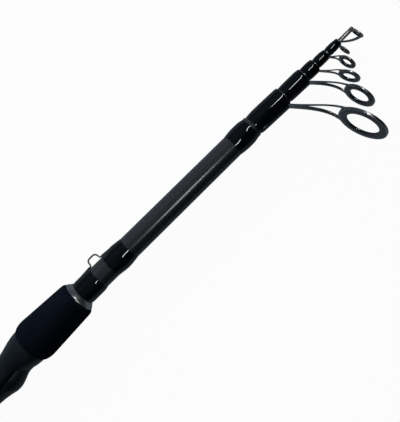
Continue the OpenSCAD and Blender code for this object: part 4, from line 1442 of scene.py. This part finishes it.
class ROD_OT_stage(bpy.types.Operator):
    """Set up the camera, the softboxes, the pale floor and the white surroundings"""

    bl_idname = "rod.stage"
    bl_label = "Stage"

    def execute(self, context):
        stage = context.scene.rod_stage
        self.place_camera(stage)
        self.hang_lamps(stage)
        self.lay_floor(stage)
        self.surround(stage)
        context.scene.view_settings.view_transform = "Standard"
        return {"FINISHED"}

    def place_camera(self, stage):
        data = bpy.data.cameras.new("camera")
        data.lens = stage.lens
        data.sensor_width = stage.sensor
        data.sensor_fit = "HORIZONTAL"
        data.clip_start = 0.01
        camera = bpy.data.objects.new("camera", data)
        camera.location = stage.camera
        camera.rotation_euler = (0, 0, stage.camera_turn)
        bpy.context.scene.collection.objects.link(camera)
        bpy.context.scene.camera = camera

    def hang_lamps(self, stage):
        """A side lamp for the tones, and an overhead panel edged by two bright strips for the gloss."""
        reach = stage.key_distance
        side = (stage.camera[0], reach * math.cos(stage.key_rise), reach * math.sin(stage.key_rise))
        lamp("side_lamp", side, (stage.key_rise - math.pi / 2, 0, 0), stage.key_length, stage.key_width,
             stage.key, diffuse=True)
        turn = (0, 0, stage.strip_turn)
        middle = Vector((*stage.strip_place, stage.lamp_height))
        inwards = Vector((-math.sin(stage.strip_turn), math.cos(stage.strip_turn), 0))
        along = Vector((math.cos(stage.strip_turn), math.sin(stage.strip_turn), 0))
        gap_start, gap_end = stage.strip_gap
        for name, start, stop in (("rear_strip", -stage.strip_rear, gap_start),
                                  ("front_strip", gap_end, stage.strip_front)):
            lamp(name, middle + along * (start + stop) / 2, turn, stop - start, stage.strip_width,
                 stage.strip, gloss=True)
        lamp("overhead_panel", middle + inwards * stage.panel_width / 2, turn, stage.panel_length,
             stage.panel_width, stage.panel, gloss=True, tint=stage.panel_tint)

    def lay_floor(self, stage):
        """A pale floor, white to the camera and dimmer in gloss."""
        reach = 4
        gap = 0.1 * MM
        fade = 0.06
        reel_side = 0.8 * stage.horizon
        keeper_side = 1.1 * stage.horizon
        glow_share = 0.96
        grain_shade = 0.98
        level = CAD_BOX[0][2] - gap
        mesh = bpy.data.meshes.new("floor")
        corners = [(reach * x, reach * y, level) for x, y in ((-1, -1), (1, -1), (1, 1), (-1, 1))]
        mesh.from_pydata(corners, [], [(0, 1, 2, 3)])
        floor = bpy.data.objects.new("floor", mesh)
        bpy.context.scene.collection.objects.link(floor)
        finish = Finish("white_floor", Roughness=0.9, Specular_IOR_Level=0.0)
        grain = finish.noise(finish.place(), 400.0)
        grey = [c * grain_shade for c in stage.floor]
        finish.wire("Base Color", finish.blend(grain, grey, stage.floor))
        camera, _, seen = finish.rays()
        _, aside, _ = finish.parts(finish.place())
        dim = finish.between(aside, reel_side, keeper_side, -fade, fade)
        strength = finish.between(camera, dim, 1.0)
        tone = finish.blend(camera, stage.room_tint, (1, 1, 1))
        glow = finish.add("ShaderNodeEmission", {"Color": tone, "Strength": strength})
        share = finish.math("MULTIPLY", seen, glow_share)
        mixed = finish.add("ShaderNodeMixShader", {0: share, 1: finish.shader.outputs[0], 2: glow})
        finish.tree.links.new(mixed, finish.tree.nodes["Material Output"].inputs["Surface"])
        mesh.materials.append(finish.material)

    def surround(self, stage):
        """White to the camera, a wall and a dim room in gloss, and a soft fill for the rest."""
        wall_foot = 0.2
        wall_top = 0.6
        world = bpy.data.worlds.new("white_surroundings")
        world.use_nodes = True
        bpy.context.scene.world = world
        nodes = Nodes(world.node_tree)
        background = world.node_tree.nodes["Background"]
        direction = nodes.add("ShaderNodeTexCoord", {}, "Generated")
        _, aside, _ = nodes.parts(direction)
        camera, gloss, seen = nodes.rays()
        wall = nodes.between(aside, stage.room, stage.wall, wall_foot, wall_top)
        dim = nodes.between(seen, stage.fill, wall)
        nodes.feed(background.inputs["Strength"], nodes.between(camera, dim, 1.0))
        nodes.feed(background.inputs["Color"], nodes.blend(gloss, (1, 1, 1), stage.room_tint))


OPERATORS = (ROD_OT_stage, ROD_OT_blanks, ROD_OT_grips, ROD_OT_wraps, ROD_OT_hook_keeper, ROD_OT_reel_seat,
             ROD_OT_butt_cap, ROD_OT_guides, ROD_OT_tip_top)


class ROD_PT_panel(bpy.types.Panel):
    """Lists the rod's pieces in the sidebar"""

    bl_idname = "ROD_PT_panel"
    bl_label = "Telescopic rod"
    bl_space_type = "VIEW_3D"
    bl_region_type = "UI"
    bl_category = "Rod"

    def draw(self, context):
        for operator in OPERATORS:
            self.layout.operator(operator.bl_idname)


CLASSES = (RodSizes, RodColours, RodStage, *OPERATORS, ROD_PT_panel)


def register():
    for cls in CLASSES:
        bpy.utils.register_class(cls)
    bpy.types.Scene.rod_sizes = PointerProperty(type=RodSizes)
    bpy.types.Scene.rod_colours = PointerProperty(type=RodColours)
    bpy.types.Scene.rod_stage = PointerProperty(type=RodStage)


def unregister():
    del bpy.types.Scene.rod_stage
    del bpy.types.Scene.rod_colours
    del bpy.types.Scene.rod_sizes
    for cls in reversed(CLASSES):
        bpy.utils.unregister_class(cls)


def main():
    register()
    bpy.ops.rod.stage()
    bpy.ops.rod.blanks()
    bpy.ops.rod.grips()
    bpy.ops.rod.wraps()
    bpy.ops.rod.hook_keeper()
    bpy.ops.rod.reel_seat()
    bpy.ops.rod.butt_cap()
    bpy.ops.rod.guides()
    bpy.ops.rod.tip_top()


if __name__ == "__main__":
    main()
